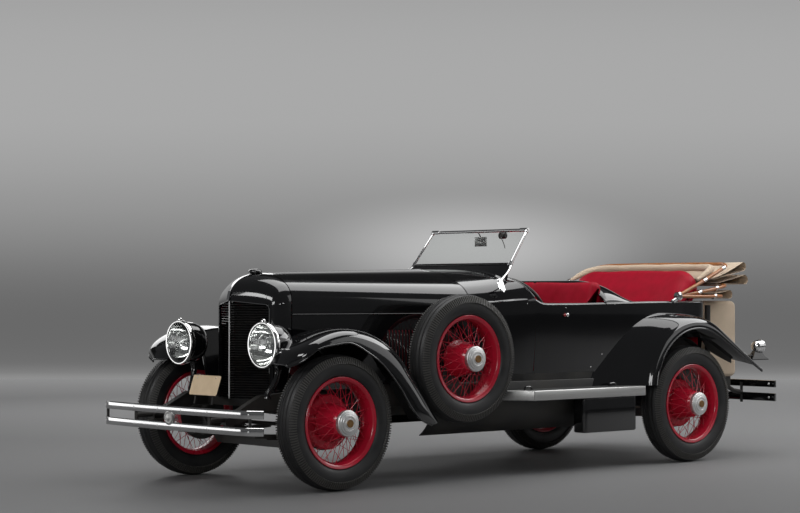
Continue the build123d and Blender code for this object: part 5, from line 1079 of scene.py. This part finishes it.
for ring in range(lens_rings + 1):
    share = ring / lens_rings
    row = []
    for step in range(96):
        turn = 2 * pi * step / 96
        y, z = lens_radius * share * cos(turn), lens_radius * share * sin(turn)
        flute = 0.0011 * abs(sin(pi * y / 0.021)) * (1 - share ** 8)
        cross_bar = 0.0015 if abs(y) < 0.0035 or abs(z) < 0.003 else 0.0
        row.append(Vector((y, 0.0035 + 0.016 * (1 - share ** 2) + flute + cross_bar, z)))
    lens_rows.append(row)
lens_front = skin(lens_rows, ring=True)
bulb = [(0.0, -0.045), (0.008, -0.048), (0.012, -0.058), (0.012, -0.068), (0.008, -0.085), (0.008, -0.115)]
lamp_shapes, rim_shapes, lens_shapes = [], [], []
for flip in (1, -1):
    seat = Matrix.Translation(at(lamp_x, flip * lamp_y, lamp_z)) @ forward
    middle = at(lamp_x - 0.08, flip * lamp_y, lamp_z)
    lamp_shapes.append(spun(bowl, 64, seat, middle))
    post = through([at(0.205, flip * 0.43, 0.745), at(0.200, flip * 0.43, 0.70), at(0.215, flip * 0.42, 0.64),
                    at(0.245, flip * 0.395, 0.58), at(0.25, flip * 0.385, 0.548)], 18)
    lamp_shapes.append(tube(post, [0.026 - 0.008 * min(1, k / 5) + 0.010 * max(0, (k - 12) / 5)
                                   for k in range(18)], 14))
    rim_shapes.append(away_from(moved(lathe(rim, 80), seat), middle))
    rim_shapes.append(spun(reflector, 64, seat, at(lamp_x + 0.5, flip * lamp_y, lamp_z)))
    peak = [at(lamp_x - 0.022 + 0.030 * k / 6, flip * lamp_y, lamp_z + 0.136 + 0.009 * sin(pi * k / 6))
            for k in range(7)]
    rim_shapes.append(tube(peak, [0.004 + 0.008 * sin(pi * k / 6) for k in range(7)], 10))
    rim_shapes.append(spun(bulb, 20, seat, at(lamp_x - 0.07, flip * lamp_y, lamp_z)))
    lens_shapes.append(away_from(moved(lens_front, seat), middle))
fit("headlamp_bowls", lamp_shapes, black_lacquer, "black_paint", "headlamps")
silvered = surface("silvered", (0.93, 0.93, 0.92), (0.88, 0.88, 0.87), 0.05, 0.12, 5, 0.00002, metallic=1.0)
fit("headlamp_rims", rim_shapes, silvered, "bright_plate")
fit("headlamp_fluted_lenses", lens_shapes, clear_glass, "clear_glass", "headlamp_lenses", sheet=0.002,
    sharp=25)

# Bumpers: pairs of plated spring-steel bars, a bowed pair ahead and a straighter pair behind.
# They are bolted through spacers to black arms from the rail ends; a turned medallion joins the front pair.


def bar(path, height, depth, bulge):
    """Flat bar with a bowed face that looks outwards, swept along a level path of points."""
    rows = []
    for k, point in enumerate(path):
        along = (path[min(k + 1, len(path) - 1)] - path[max(k - 1, 0)]).normalized()
        face = along.cross(Vector((0, 0, 1))).normalized()
        ring = [(-height / 2, -depth), (-height / 2 + 0.002, -depth - 0.001),
                (height / 2 - 0.002, -depth - 0.001), (height / 2, -depth), (height / 2, -0.002)]
        ring += [(height / 2 * (1 - j / 4), bulge * (1 - (1 - j / 4) ** 2)) for j in range(9)]
        ring.append((-height / 2, -0.002))
        rows.append([point + face * forth + Vector((0, 0, rise)) for rise, forth in ring])
    points, faces = skin(rows, ring=True)
    width = len(rows[0])
    faces.append(tuple(range(width)))
    faces.append(tuple(range(len(points) - 1, len(points) - 1 - width, -1)))
    return points, faces


def bumper_path(nose, bow, half, bend, sweep, z, way):
    """Level path of a bar: bowed middle and ends swept towards the car; way is 1 in front and -1 behind."""
    path = []
    for k in range(49):
        y = half * (k / 24 - 1)
        x = nose - way * bow * (y / half) ** 2
        x -= way * sweep * max(0.0, (abs(y) - bend) / (half - bend)) ** 1.4
        path.append(at(x, -y * way, z))
    return path


front_bars = [away_from(bar(bumper_path(0.684, 0.030, 0.806, 0.70, 0.060, z, 1), 0.047, 0.007, 0.0010),
                        at(0.3, 0, z)) for z in (0.476, 0.378)]
rear_bars, rear_backs = [], []
for z, height in ((0.506, 0.050), (0.408, 0.058)):
    rear_path = bumper_path(-4.222, 0.008, 0.692, 0.58, 0.004, z, -1)
    rear_bars.append(away_from(bar(rear_path, height, 0.007, 0.005), at(-3.8, 0, z)))
    back_path = [point + Vector((0.0105, 0, 0)) for point in rear_path]
    rear_backs.append(away_from(bar(back_path, height - 0.004, 0.003, 0.001), at(-3.8, 0, z)))
boss = [(0.0, 0.010), (0.012, 0.010), (0.020, 0.0075), (0.030, 0.0065), (0.034, 0.009), (0.040, 0.008),
        (0.0425, 0.002), (0.0425, -0.012)]
medallion = spun(boss, 48, Matrix.Translation(at(0.690, 0, 0.427)) @ forward, at(0.66, 0, 0.427))
fit("front_bumper_bars", front_bars, bright_plating, "bright_plate", "front_bumper")
fit("rear_bumper_bars", rear_bars, bright_plating, "bright_plate", "rear_bumper")
fit("rear_bumper_backs", rear_backs, black_lacquer, "black_paint")
fit("front_bumper_medallion", [medallion], step_metal, "bright_plate")
arms = []
for flip in (1, -1):
    arms.append(tube([at(0.50, flip * 0.37, 0.43), at(0.60, flip * 0.375, 0.427),
                      at(0.668, flip * 0.38, 0.427)], 0.017, 10))
    arms.append(tube([at(0.668, flip * 0.38, 0.358), at(0.668, flip * 0.38, 0.496)], 0.011, 10))
    arms.append(tube([at(0.640, flip * 0.735, 0.360), at(0.640, flip * 0.735, 0.494)], 0.009, 10))
    arms.append(tube([at(-4.02, flip * 0.37, 0.50), at(-4.12, flip * 0.375, 0.45),
                      at(-4.205, flip * 0.38, 0.437)], 0.017, 10))
    arms.append(tube([at(-4.206, flip * 0.38, 0.364), at(-4.206, flip * 0.38, 0.510)], 0.011, 10))
fit("bumper_arms", arms, chassis_paint, "chassis_black")

# Number plate: a bare painted plate of pressed steel with a raised border.
# It leans back a little on two posts from the front cross member.
plate_paint = surface("plate_paint", (0.86, 0.67, 0.45), (0.78, 0.60, 0.39), 0.4, 0.55, 14, 0.0002)
plate_turn = Matrix.Translation(at(0.425, 0, 0.614)) @ Matrix.Rotation(radians(-18), 4, "Y")
plate_half_width = 0.128
plate_half_height = 0.0505
plate_corner = 0.012
# inset from the edge, height over the plate
plate_profile = ((0.004, -0.002), (0.0, -0.001), (0.0, 0.001), (0.001, 0.0022), (0.005, 0.0022),
                 (0.0065, 0.0012))
plate_rows = []
turns = [2 * pi * (k + 0.5) / 32 for k in range(32)]
for inset, forth in plate_profile:
    ring = []
    for turn in turns:
        y = plate_half_width * (1 if cos(turn) > 0 else -1) + (plate_corner - inset) * cos(turn)
        z = plate_half_height * (1 if sin(turn) > 0 else -1) + (plate_corner - inset) * sin(turn)
        ring.append(plate_turn @ Vector((forth, y, z)))
    plate_rows.append(ring)
plate_rows.append([plate_turn @ Vector((plate_profile[-1][1], 0.07 if cos(turn) > 0 else -0.07, 0))
                   for turn in turns])
plate_shape = away_from(skin(plate_rows, ring=True), at(0.3, 0, 0.6))
fit("number_plate_blank", [plate_shape], plate_paint, "plate_tan", "number_plate", sharp=30)
posts = [tube([at(0.418, flip * 0.09, 0.60), at(0.430, flip * 0.09, 0.555), at(0.440, flip * 0.09, 0.50)],
              0.006, 8) for flip in (1, -1)]
fit("number_plate_posts", posts, chassis_paint, "chassis_black")

# Windshield: a raked plate of glass in a plated frame, on bright stanchions bolted to the cowl.
# A mirror and a wiper motor hang from the top bar; a black valance closes the gap below.
cad["windshield_glass"].data.materials.clear()
cad["windshield_glass"].data.materials.append(clear_glass)
screen_foot = Vector((-1.700, 0.478, 1.364))
screen_top = Vector((-1.873, 0.461, 1.594))
post_left = tube([at(*screen_foot), at(*screen_foot.lerp(screen_top, 0.5)), at(*screen_top),
                  at(-1.878, 0.4605, 1.6005)], [0.0105, 0.0105, 0.0105, 0.006], 14)
top_bar = tube([at(screen_top.x, -screen_top.y, screen_top.z), at(*screen_top)], 0.0105, 12)
low_bar = tube([at(screen_foot.x, -screen_foot.y, screen_foot.z), at(*screen_foot)], 0.0085, 12)
foot_strap = [at(-1.700, 0.480, 1.356), at(-1.672, 0.500, 1.334), at(-1.625, 0.525, 1.306),
              at(-1.575, 0.543, 1.277), at(-1.535, 0.552, 1.250)]
strap = tube(through(foot_strap, 14), [0.0105 - 0.0035 * sin(pi * k / 13) for k in range(14)], 12)
pad_rows = []
for k in range(13):
    share = k / 12
    half = 0.022 * sqrt(max(0.0, 1 - (2 * share - 1) ** 6)) + 0.003
    pad_rows.append([at(-1.528 + half * cos(pi * j / 6),
                        0.548 + 0.040 * share + 0.007 * sin(pi * j / 6) ** 0.5,
                        1.268 - 0.088 * share) for j in range(7)])
foot_pad = away_from(skin(pad_rows), at(-1.528, 0.45, 1.2))
clamp = tube([at(*screen_foot.lerp(screen_top, 0.93)), at(*screen_top.lerp(screen_foot, -0.01))], 0.0135, 12)
corner_clip = tube([at(-1.873, -0.470, 1.594), at(-1.873, -0.400, 1.594)], 0.0145, 12)
knuckle_clamp = tube([at(-1.692, 0.478, 1.350), at(*screen_foot.lerp(screen_top, 0.07))], 0.0150, 12)
frame_shapes = pair(post_left) + [top_bar] + pair(strap, foot_pad, clamp, knuckle_clamp, corner_clip)
fit("windshield_bright_frame", frame_shapes, bright_plating, "bright_plate", "windshield_frame")
valance_rows = []
for k in range(33):
    y = 0.478 * (k / 16 - 1)
    seat_z = cowl_top - 0.012 - 0.075 * (abs(y) / 0.49) ** 3.3
    valance_rows.append([at(-1.700, y, 1.366), at(-1.690, y, 1.352), at(-1.668, y * 1.01, seat_z + 0.008),
                         at(-1.655, y * 1.02, seat_z - 0.012)])
valance = away_from(skin(valance_rows), at(-1.9, 0, 1.2))
fit("windshield_valance", [valance, low_bar], black_lacquer, "black_paint")
motor_outline = [(0.0, 0.030), (0.018, 0.030), (0.024, 0.024), (0.024, -0.018), (0.016, -0.024),
                 (0.0, -0.024)]
motor_place = at(-1.852, 0.256, 1.560)
motor = spun(motor_outline, 24, Matrix.Translation(motor_place) @ forward, motor_place)
wiper = tube([at(-1.825, 0.256, 1.556), at(-1.800, 0.310, 1.512), at(-1.775, 0.352, 1.474)], 0.003, 8)
hanger = tube([at(-1.868, -0.005, 1.590), at(-1.890, -0.005, 1.560), at(-1.892, -0.005, 1.545)], 0.0045, 8)
mirror_back = [[at(-1.893 + 0.012 * (1 - abs(j / 2 - 1) ** 4) * (1 - abs(k / 2 - 1) ** 4),
                   0.058 * (k / 2 - 1) - 0.005, 1.522 + 0.032 * (j / 2 - 1)) for j in range(5)]
               for k in range(5)]
mirror_shape = away_from(skin(mirror_back), at(-2.2, -0.005, 1.52))
fit("wiper_and_motor", [motor, wiper], chassis_paint, "black_paint")
fit("cockpit_mirror", [mirror_shape, hanger], step_metal, "bright_plate", sheet=0.004)

# Cockpit: a dark board with round plated dials under the cowl.
# A black composition steering wheel with four spokes and a horn button stands on its column.
fasten(polish("dash_board", "instrument_panel", black_lacquer, 0.003), "chassis", "black_paint",
       "instrument_panel")
backward = Matrix.Rotation(pi / 2, 4, "Z")
dial = [(0.0, 0.001), (0.040, 0.001), (0.042, 0.006), (0.047, 0.008), (0.050, 0.004), (0.050, -0.004)]
dial_shapes = []
for y, size in ((0.0, 1.0), (0.13, 0.75), (-0.13, 0.75), (0.24, 0.6), (-0.24, 0.6)):
    dial_seat = Matrix.Translation(at(-1.632, y, 1.215)) @ backward @ Matrix.Scale(size, 4)
    dial_shapes.append(spun(dial, 32, dial_seat, at(-1.5, y, 1.215)))
fit("dash_dials", dial_shapes, bright_plating, "bright_plate")
wheel_axis = Vector((-cos(radians(38)), 0, sin(radians(38))))
column_top = at(-2.020, 0.330, 1.170)
wheel_middle = column_top - wheel_axis * 0.10
wheel_side = Vector((0, 1, 0))
wheel_up = wheel_axis.cross(wheel_side)


def on_wheel(radius, turn, rise=0.0):
    """Point on the steering wheel at a radius and turn, raised along its column."""
    return wheel_middle + (wheel_side * cos(turn) + wheel_up * sin(turn)) * radius + wheel_axis * rise


wheel_shapes = [tube([on_wheel(0.197, 2 * pi * k / 64) for k in range(64)], 0.012, 12, closed=True)]
for spoke in range(4):
    turn = pi / 4 + pi / 2 * spoke
    wheel_shapes.append(tube([on_wheel(0.02, turn), on_wheel(0.11, turn, -0.006), on_wheel(0.193, turn)],
                             [0.011, 0.0075, 0.007], 10))
hub_turn = Matrix((wheel_side, wheel_axis, wheel_up)).transposed().to_4x4()
horn = [(0.0, 0.024), (0.014, 0.023), (0.020, 0.017), (0.030, 0.014), (0.034, 0.008), (0.034, -0.022),
        (0.013, -0.022)]
wheel_shapes.append(spun(horn, 32, Matrix.Translation(wheel_middle) @ hub_turn, wheel_middle))
dark_wheel = surface("dark_wheel", (0.012, 0.010, 0.009), (0.025, 0.02, 0.017), 0.25, 0.4, 9, 0.0002)
fasten(build("steering_wheel_rim", wheel_shapes, dark_wheel), "steering_wheel", "varnished_wood",
       "steering_wheel")
mast = tube([wheel_middle - wheel_axis * 0.024, wheel_middle - wheel_axis * 0.70], 0.021, 16)
fit("steering_mast", [mast], chassis_paint, "chassis_black", "steering_column")

# Seats: crimson hide stretched over springs and hair, drawn in along the seams and at the ends.
# The front seat is one bench; the rear seat has a loose cushion and a back that wraps round the tub.


def stuffed(name, profile, half_width, seams, ends, wrap=0.0, sag=0.0, sag_from=0.4):
    """Padded shape: a closed side profile carried across the car, drawn in at its ends and seams."""
    loop = [Vector((x, z)) for x, z in profile]
    ring = through(loop + loop[:1], 73)[:-1]
    rows = []
    count = len(ring)
    area = sum(ring[k].x * ring[(k + 1) % count].y - ring[(k + 1) % count].x * ring[k].y
               for k in range(count))
    for step in range(65):
        y = half_width * sin(pi / 2 * (step / 32 - 1))
        into = ends * (1 - sqrt(max(0.0, 1 - max(0.0, (abs(y) - half_width + ends) / ends) ** 2)))
        for seam in seams:
            into += 0.009 * 2.718 ** -(((y - seam) / 0.011) ** 2)
        into -= 0.006 * abs(cos(pi * y / half_width))
        row = []
        for k, spot in enumerate(ring):
            along = (ring[(k + 1) % count] - ring[k - 1]).normalized()
            out = Vector((along.y, -along.x)) * (1 if area > 0 else -1)
            place = spot - out * into
            high = max(0.0, (place.y - 1.0) / 0.3)
            drop = sag * max(0.0, (abs(y) - sag_from) / (half_width - sag_from)) ** 2 * min(1.0, high)
            row.append(at(place.x + wrap * (abs(y) / half_width) ** 4, y, place.y - drop))
        rows.append(row)
    points, faces = skin(rows, ring=True)
    faces.append(tuple(range(count)))
    faces.append(tuple(range(len(points) - count, len(points))))
    shape = away_from((points, faces), sum(points, Vector()) / len(points))
    return build(name, [shape], crimson_hide, sharp=80)


front_profile = [(-1.985, 0.66), (-1.964, 0.76), (-1.950, 0.845), (-1.985, 0.880), (-2.10, 0.868),
                 (-2.215, 0.850), (-2.262, 0.875), (-2.290, 0.98), (-2.333, 1.13), (-2.368, 1.218),
                 (-2.408, 1.242), (-2.444, 1.222), (-2.454, 1.12), (-2.452, 0.9), (-2.450, 0.70),
                 (-2.40, 0.655), (-2.2, 0.65)]
front_pad = stuffed("front_seat_pad", front_profile, 0.610, (0.0,), 0.05)
fasten(front_pad, "chassis", "red_leather", "front_seat")
cushion_profile = [(-2.868, 0.76), (-2.850, 0.85), (-2.842, 0.905), (-2.88, 0.925), (-3.00, 0.912),
                   (-3.13, 0.892), (-3.19, 0.86), (-3.19, 0.78), (-3.12, 0.75), (-3.0, 0.748)]
rear_cushion = stuffed("rear_seat_cushion", cushion_profile, 0.515, (0.0,), 0.04)
fasten(rear_cushion, "chassis", "red_leather", "rear_seat")
back_profile = [(-3.165, 0.895), (-3.235, 1.02), (-3.345, 1.19), (-3.425, 1.285), (-3.468, 1.325),
                (-3.52, 1.325), (-3.548, 1.275), (-3.520, 1.19), (-3.455, 1.09), (-3.38, 0.96),
                (-3.27, 0.885)]
rear_back = stuffed("rear_seat_back", back_profile, 0.575, (), 0.06, wrap=0.05, sag=0.085, sag_from=0.40)
fasten(rear_back, "chassis", "red_leather", "rear_seat")

# Folded top: bent ash bows on plated side pivots behind the rear seat.
# Tan canvas is rolled over the front bow and hangs in three folds behind, above the trunk.
bow_wood = surface("bow_wood", (0.44, 0.17, 0.05), (0.30, 0.10, 0.03), 0.28, 0.42, 10, 0.0004, coat=0.3,
                   stretch_by=(0.6, 5, 5))
tan_canvas, canvas_tree, canvas_shader = new_material("tan_canvas", Roughness=0.85, Sheen_Weight=0.15)
canvas_drift = wire(canvas_tree, "ShaderNodeGroup", node_tree=uneven)
canvas_drift.inputs["Scale"].default_value = 7
canvas_drift.inputs["Stretch"].default_value = (1, 1, 1)
canvas_tint = wire(canvas_tree, "ShaderNodeMix", {"Factor": canvas_drift.outputs["Patches"],
                                                  "A": (0.63, 0.50, 0.37, 1), "B": (0.54, 0.43, 0.31, 1)},
                   data_type="RGBA")
canvas_place = wire(canvas_tree, "ShaderNodeTexCoord").outputs["Object"]
threads = [wire(canvas_tree, "ShaderNodeTexWave", {"Vector": canvas_place, "Scale": 130},
                bands_direction=way).outputs["Fac"] for way in ("X", "Y", "Z")]
weave = reckon(canvas_tree, "ADD", reckon(canvas_tree, "ADD", threads[0], threads[1]), threads[2])
canvas_relief = wire(canvas_tree, "ShaderNodeBump", {"Strength": 0.4, "Distance": 0.0008, "Height": weave})
feed(canvas_tree, canvas_shader["Base Color"], canvas_tint.outputs["Result"])
feed(canvas_tree, canvas_shader["Normal"], canvas_relief.outputs[0])

bow_shapes = []
bow_arms = ([(-3.15, 0.668, 1.150), (-3.45, 0.662, 1.264), (-3.68, 0.64, 1.352), (-3.765, 0.585, 1.378),
             (-3.800, 0.45, 1.384), (-3.805, 0.0, 1.386)],
            [(-3.15, 0.655, 1.150), (-3.40, 0.655, 1.178), (-3.68, 0.635, 1.218), (-3.76, 0.575, 1.230),
             (-3.79, 0.45, 1.236), (-3.795, 0.0, 1.238)],
            [(-3.15, 0.682, 1.150), (-3.40, 0.675, 1.148), (-3.64, 0.645, 1.150), (-3.70, 0.58, 1.152),
             (-3.725, 0.45, 1.154), (-3.73, 0.0, 1.154)])
for arm in bow_arms:
    half = through([at(*spot) for spot in arm], 26)
    whole = half + [Vector((p.x, -p.y, p.z)) for p in reversed(half[:-1])]
    bow_shapes.append(tube(whole, 0.0125, 10))
fit("top_bent_bows", bow_shapes, bow_wood, "varnished_wood", "top_bows")
pivot_outline = [(0.0, 0.012), (0.012, 0.012), (0.016, 0.008), (0.026, 0.006), (0.030, 0.002),
                 (0.030, -0.030)]
pivot_plate = spun(pivot_outline, 28, Matrix.Translation(at(-3.15, 0.690, 1.150)), at(-3.15, 0.68, 1.15))
clip = tube([at(-3.13, 0.675, 1.128), at(-3.10, 0.668, 1.112)], 0.016, 10)
ferrules = []
ferrule_places = ((-3.45, 0.662, 1.264), (-3.68, 0.640, 1.352), (-3.40, 0.655, 1.178), (-3.60, 0.642, 1.207),
                  (-3.56, 0.657, 1.149))
for x, y, z in ferrule_places:
    ferrules.append(tube([at(x + 0.018, y + 0.0005, z - 0.006), at(x - 0.018, y - 0.0005, z + 0.006)],
                         0.0155, 10))
pivot_shapes = [pivot_plate, clip] + ferrules
fit("top_pivots", pivot_shapes + [mirrored(shape) for shape in pivot_shapes], bright_plating,
    "bright_plate")
roll_half = through([at(-3.42, 0.622, 1.268), at(-3.52, 0.612, 1.310), at(-3.61, 0.585, 1.342),
                     at(-3.67, 0.51, 1.354), at(-3.695, 0.36, 1.357), at(-3.705, 0.18, 1.358),
                     at(-3.705, 0.0, 1.358)], 60)
roll_path = roll_half + [Vector((p.x, -p.y, p.z)) for p in reversed(roll_half[:-1])]
roll_size = [(0.010 + 0.014 * min(1.0, min(k, 118 - k) / 16)) * (1 + 0.16 * abs(sin(k * 0.16)))
             for k in range(119)]
canvas_roll = build("top_canvas_roll", [tube(roll_path, roll_size, 16)], tan_canvas, sharp=80)
fasten(canvas_roll, "chassis", "tan_canvas", "top_canvas")
# root and tip along and up, half height of the bend
canvas_folds = (((-3.66, 1.272), (-4.00, 1.366), 0.030), ((-3.70, 1.238), (-4.02, 1.272), 0.036),
                ((-3.68, 1.165), (-3.845, 1.164), 0.032))
for number, (root, tip, open_by) in enumerate(canvas_folds):
    reach = Vector((tip[0] - root[0], tip[1] - root[1]))
    lift = Vector((-reach.y, reach.x)).normalized()
    if lift.y < 0:
        lift = -lift
    leaf = [(Vector(root) + reach * (k / 12), lift * (0.006 + (open_by - 0.006) * (k / 12) ** 2))
            for k in range(13)]
    flat = [middle + rise for middle, rise in leaf]
    flat += [Vector(tip) + lift * open_by * cos(pi * k / 10) + reach.normalized() * open_by * sin(pi * k / 10)
             for k in range(1, 10)]
    flat += [middle - rise for middle, rise in reversed(leaf)]
    fold_rows = []
    for k in range(41):
        y = 0.565 * (k / 20 - 1)
        sway = 0.006 * sin(9 * y + number * 2)
        fold_rows.append([at(spot.x + sway * (j / 34), y, spot.y + 0.6 * sway * sin(j * 0.3))
                          for j, spot in enumerate(flat)])
    fold = build(f"top_canvas_fold_{number + 1}", [skin(fold_rows)], tan_canvas, sharp=80)
    fasten(fold, "chassis", "tan_canvas")

# Trunk: a rack trunk under a fitted cover of the same canvas as the top, with eased corners.
# It stands on the rail ends between two black posts, and two black straps hold it in front.
trunk_cover = polish("trunk_cover", "trunk", tan_canvas, 0.030, 5)
fasten(trunk_cover, "chassis", "tan_canvas", "trunk")
trunk_low, trunk_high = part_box("trunk")
rack_posts = []
for flip in (1, -1):
    post_ends = [Vector((trunk_high.x - 0.020, flip * (trunk_high.y + 0.008), z))
                 for z in (trunk_low.z, trunk_high.z - 0.03)]
    rack_posts.append(tube(post_ends, 0.021, 14))
fit("trunk_rack_posts", rack_posts, chassis_paint, "chassis_black")
strap_shapes = [tube([at(-3.692, flip * 0.400, 0.57), at(-3.690, flip * 0.400, 0.85),
                      at(-3.692, flip * 0.400, 1.10)], 0.016, 8) for flip in (1, -1)]
fit("trunk_straps", strap_shapes, chassis_paint, "black_paint")

# Tail lamps: spun and plated drums with a domed lens of red glass.
# Each stands on a pressed black foot, held by a rod from the tail of the rear fender.
tail_drum = [(0.0, 0.068), (0.020, 0.066), (0.034, 0.056), (0.043, 0.040), (0.047, 0.020), (0.048, 0.0),
             (0.050, -0.002), (0.050, -0.012), (0.044, -0.014)]
tail_lens = [(0.044, -0.012), (0.036, -0.019), (0.020, -0.024), (0.0, -0.026)]
red_glass = surface("red_glass", (0.35, 0.004, 0.004), (0.30, 0.003, 0.003), 0.05, 0.1, 8, 0.0001, coat=1.0)
foot_corners = ((-0.085, -0.03), (0.085, -0.03), (0.085, 0.03), (-0.085, 0.03))
foot_levels = ((0.686, 1.1), (0.692, 1.1), (0.712, 0.75), (0.752, 0.42))
drum_shapes, lens_parts, stand_shapes = [], [], []
for flip in (1, -1):
    seat = Matrix.Translation(at(-4.076, flip * 0.650, 0.785)) @ forward
    centre = at(-4.05, flip * 0.650, 0.785)
    drum_shapes.append(spun(tail_drum, 40, seat, centre))
    lens_parts.append(spun(tail_lens, 40, seat, centre))
    stand = [[at(-4.05 + dx * spread, flip * 0.650 + dy * spread, z) for dx, dy in foot_corners]
             for z, spread in foot_levels]
    stand_shapes.append(away_from(skin(stand, ring=True), at(-4.05, flip * 0.65, 0.70)))
    stand_shapes.append(tube([at(-4.02, flip * 0.645, 0.725), at(-3.93, flip * 0.66, 0.715),
                              at(-3.83, flip * 0.70, 0.705)], 0.009, 10))
fit("tail_lamp_drums", drum_shapes, bright_plating, "bright_plate", "tail_lamps")
fit("tail_lamp_lenses", lens_parts, red_glass, "red_enamel")
fit("tail_lamp_stands", stand_shapes, black_lacquer, "black_paint", sharp=30)

# Bolts and studs: small domed heads of plated steel on bumpers, plate, screen feet, hinge and body side.
# A node tree stands one head on each listed place, turned along the direction that the face looks.
stud_inputs = (("Radius", "Float"), ("Rise", "Float"), ("Finish", "Material"))
stud_tree, stud_in, stud_sockets = new_group("standing_studs", "GeometryNodeTree", geometry + stud_inputs,
                                             geometry)
stud_ball = wire(stud_tree, "GeometryNodeMeshUVSphere", {"Segments": 10, "Rings": 6, "Radius": 1})
stud_head = wire(stud_tree, "GeometryNodeSetShadeSmooth", {0: stud_ball.outputs["Mesh"]})
stud_aim = wire(stud_tree, "GeometryNodeInputNamedAttribute", {"Name": "aim"}, data_type="FLOAT_VECTOR")
stud_turn = wire(stud_tree, "FunctionNodeAlignRotationToVector", {"Vector": stud_aim.outputs[0]}, axis="Z")
stud_scale = wire(stud_tree, "ShaderNodeCombineXYZ", {0: stud_in["Radius"], 1: stud_in["Radius"],
                                                      2: stud_in["Rise"]})
copies(stud_tree, stud_in["Geometry"], stud_head.outputs[0], stud_in["Finish"], Rotation=stud_turn.outputs[0],
       Scale=stud_scale.outputs[0])


def studs(name, places, radius, rise, finish):
    """Domed heads on (place, direction) pairs."""
    made = build(name, [([place for place, aim in places], [])], finish, smooth=False)
    aims = made.data.attributes.new("aim", "FLOAT_VECTOR", "POINT")
    for number, (place, aim) in enumerate(places):
        aims.data[number].vector = aim
    return grow(made, stud_tree, stud_sockets, Radius=radius, Rise=rise, Finish=finish)


def both_sides(places):
    """The same places on the left and on the right."""
    return places + [(Vector((place.x, -place.y, place.z)), Vector((aim[0], -aim[1], aim[2])))
                     for place, aim in places]


ahead, behind, left_out, upwards = (1, 0, 0), (-1, 0, 0), (0, 1, 0), (0, 0, 1)
bumper_bolts = []
for z in (0.476, 0.378):
    for y in (0.12, 0.38, 0.735):
        sweep = 0.030 * (y / 0.806) ** 2 + 0.060 * max(0.0, (y - 0.70) / 0.106) ** 1.4
        bumper_bolts.append((at(0.689 - sweep, y, z), ahead))
for z in (0.506, 0.408):
    for y in (0.38, 0.655):
        sweep = 0.020 * (y / 0.688) ** 2 + 0.050 * max(0.0, (y - 0.58) / 0.108) ** 1.4
        bumper_bolts.append((at(-4.227 + sweep, y, z), behind))
fasten(studs("bumper_bolts", both_sides(bumper_bolts), 0.0085, 0.006, satin_plating), "chassis",
       "bright_plate")
small_studs = [(at(x, plan_y(x) - tuck(z), z), left_out)
               for x, z in ((-1.735, 1.105), (-2.05, 1.075), (-2.50, 1.095), (-2.39, 0.762), (-2.292, 0.677))]
small_studs += [(at(0.085, 0.302, 1.105), left_out), (at(0.060, 0.304, 1.110), left_out),
                (at(-1.528, 0.585, 1.205), (0, 0.9, 0.4))]
hinge_studs = [(at(-0.213, 0, 1.3075), upwards), (at(-0.78, 0, 1.3205), upwards)]
plate_studs = [(plate_turn @ Vector((0.002, 0.095 * flip, 0.046)), (0.95, 0, 0.31)) for flip in (1, -1)]
fasten(studs("small_studs", both_sides(small_studs) + plate_studs, 0.0042, 0.003, bright_plating), "chassis",
       "bright_plate")
fasten(studs("hood_hinge_studs", hinge_studs, 0.0024, 0.002, bright_plating), "chassis", "bright_plate")

# Side fitting: a small turned and plated boss with a red glass jewel beside it.
# One is screwed low on each cockpit side.
fitting = [(at(-2.062, plan_y(-2.062) + 0.002, 1.028), left_out)]
jewel = [(at(-2.040, plan_y(-2.04) + 0.003, 1.027), left_out)]
fasten(studs("side_fitting_bosses", both_sides(fitting), 0.014, 0.008, bright_plating), "chassis",
       "bright_plate")
fasten(studs("side_fitting_jewels", both_sides(jewel), 0.012, 0.010, red_glass), "chassis", "red_enamel")

# Board clamps: low loops of black bar that hold luggage straps.
# Two are bolted along the outer edge of each running board.
clamp_shapes = []
for x in (-1.60, -2.40):
    loop = [at(x - 0.034 * cos(pi * k / 12), 0.742, 0.545 + 0.024 * sin(pi * k / 12) ** 0.5)
            for k in range(13)]
    clamp_shapes.append(tube(loop, 0.0055, 8))
clamp_shapes += [mirrored(shape) for shape in clamp_shapes]
fit("board_clamps", clamp_shapes, black_lacquer, "black_paint")
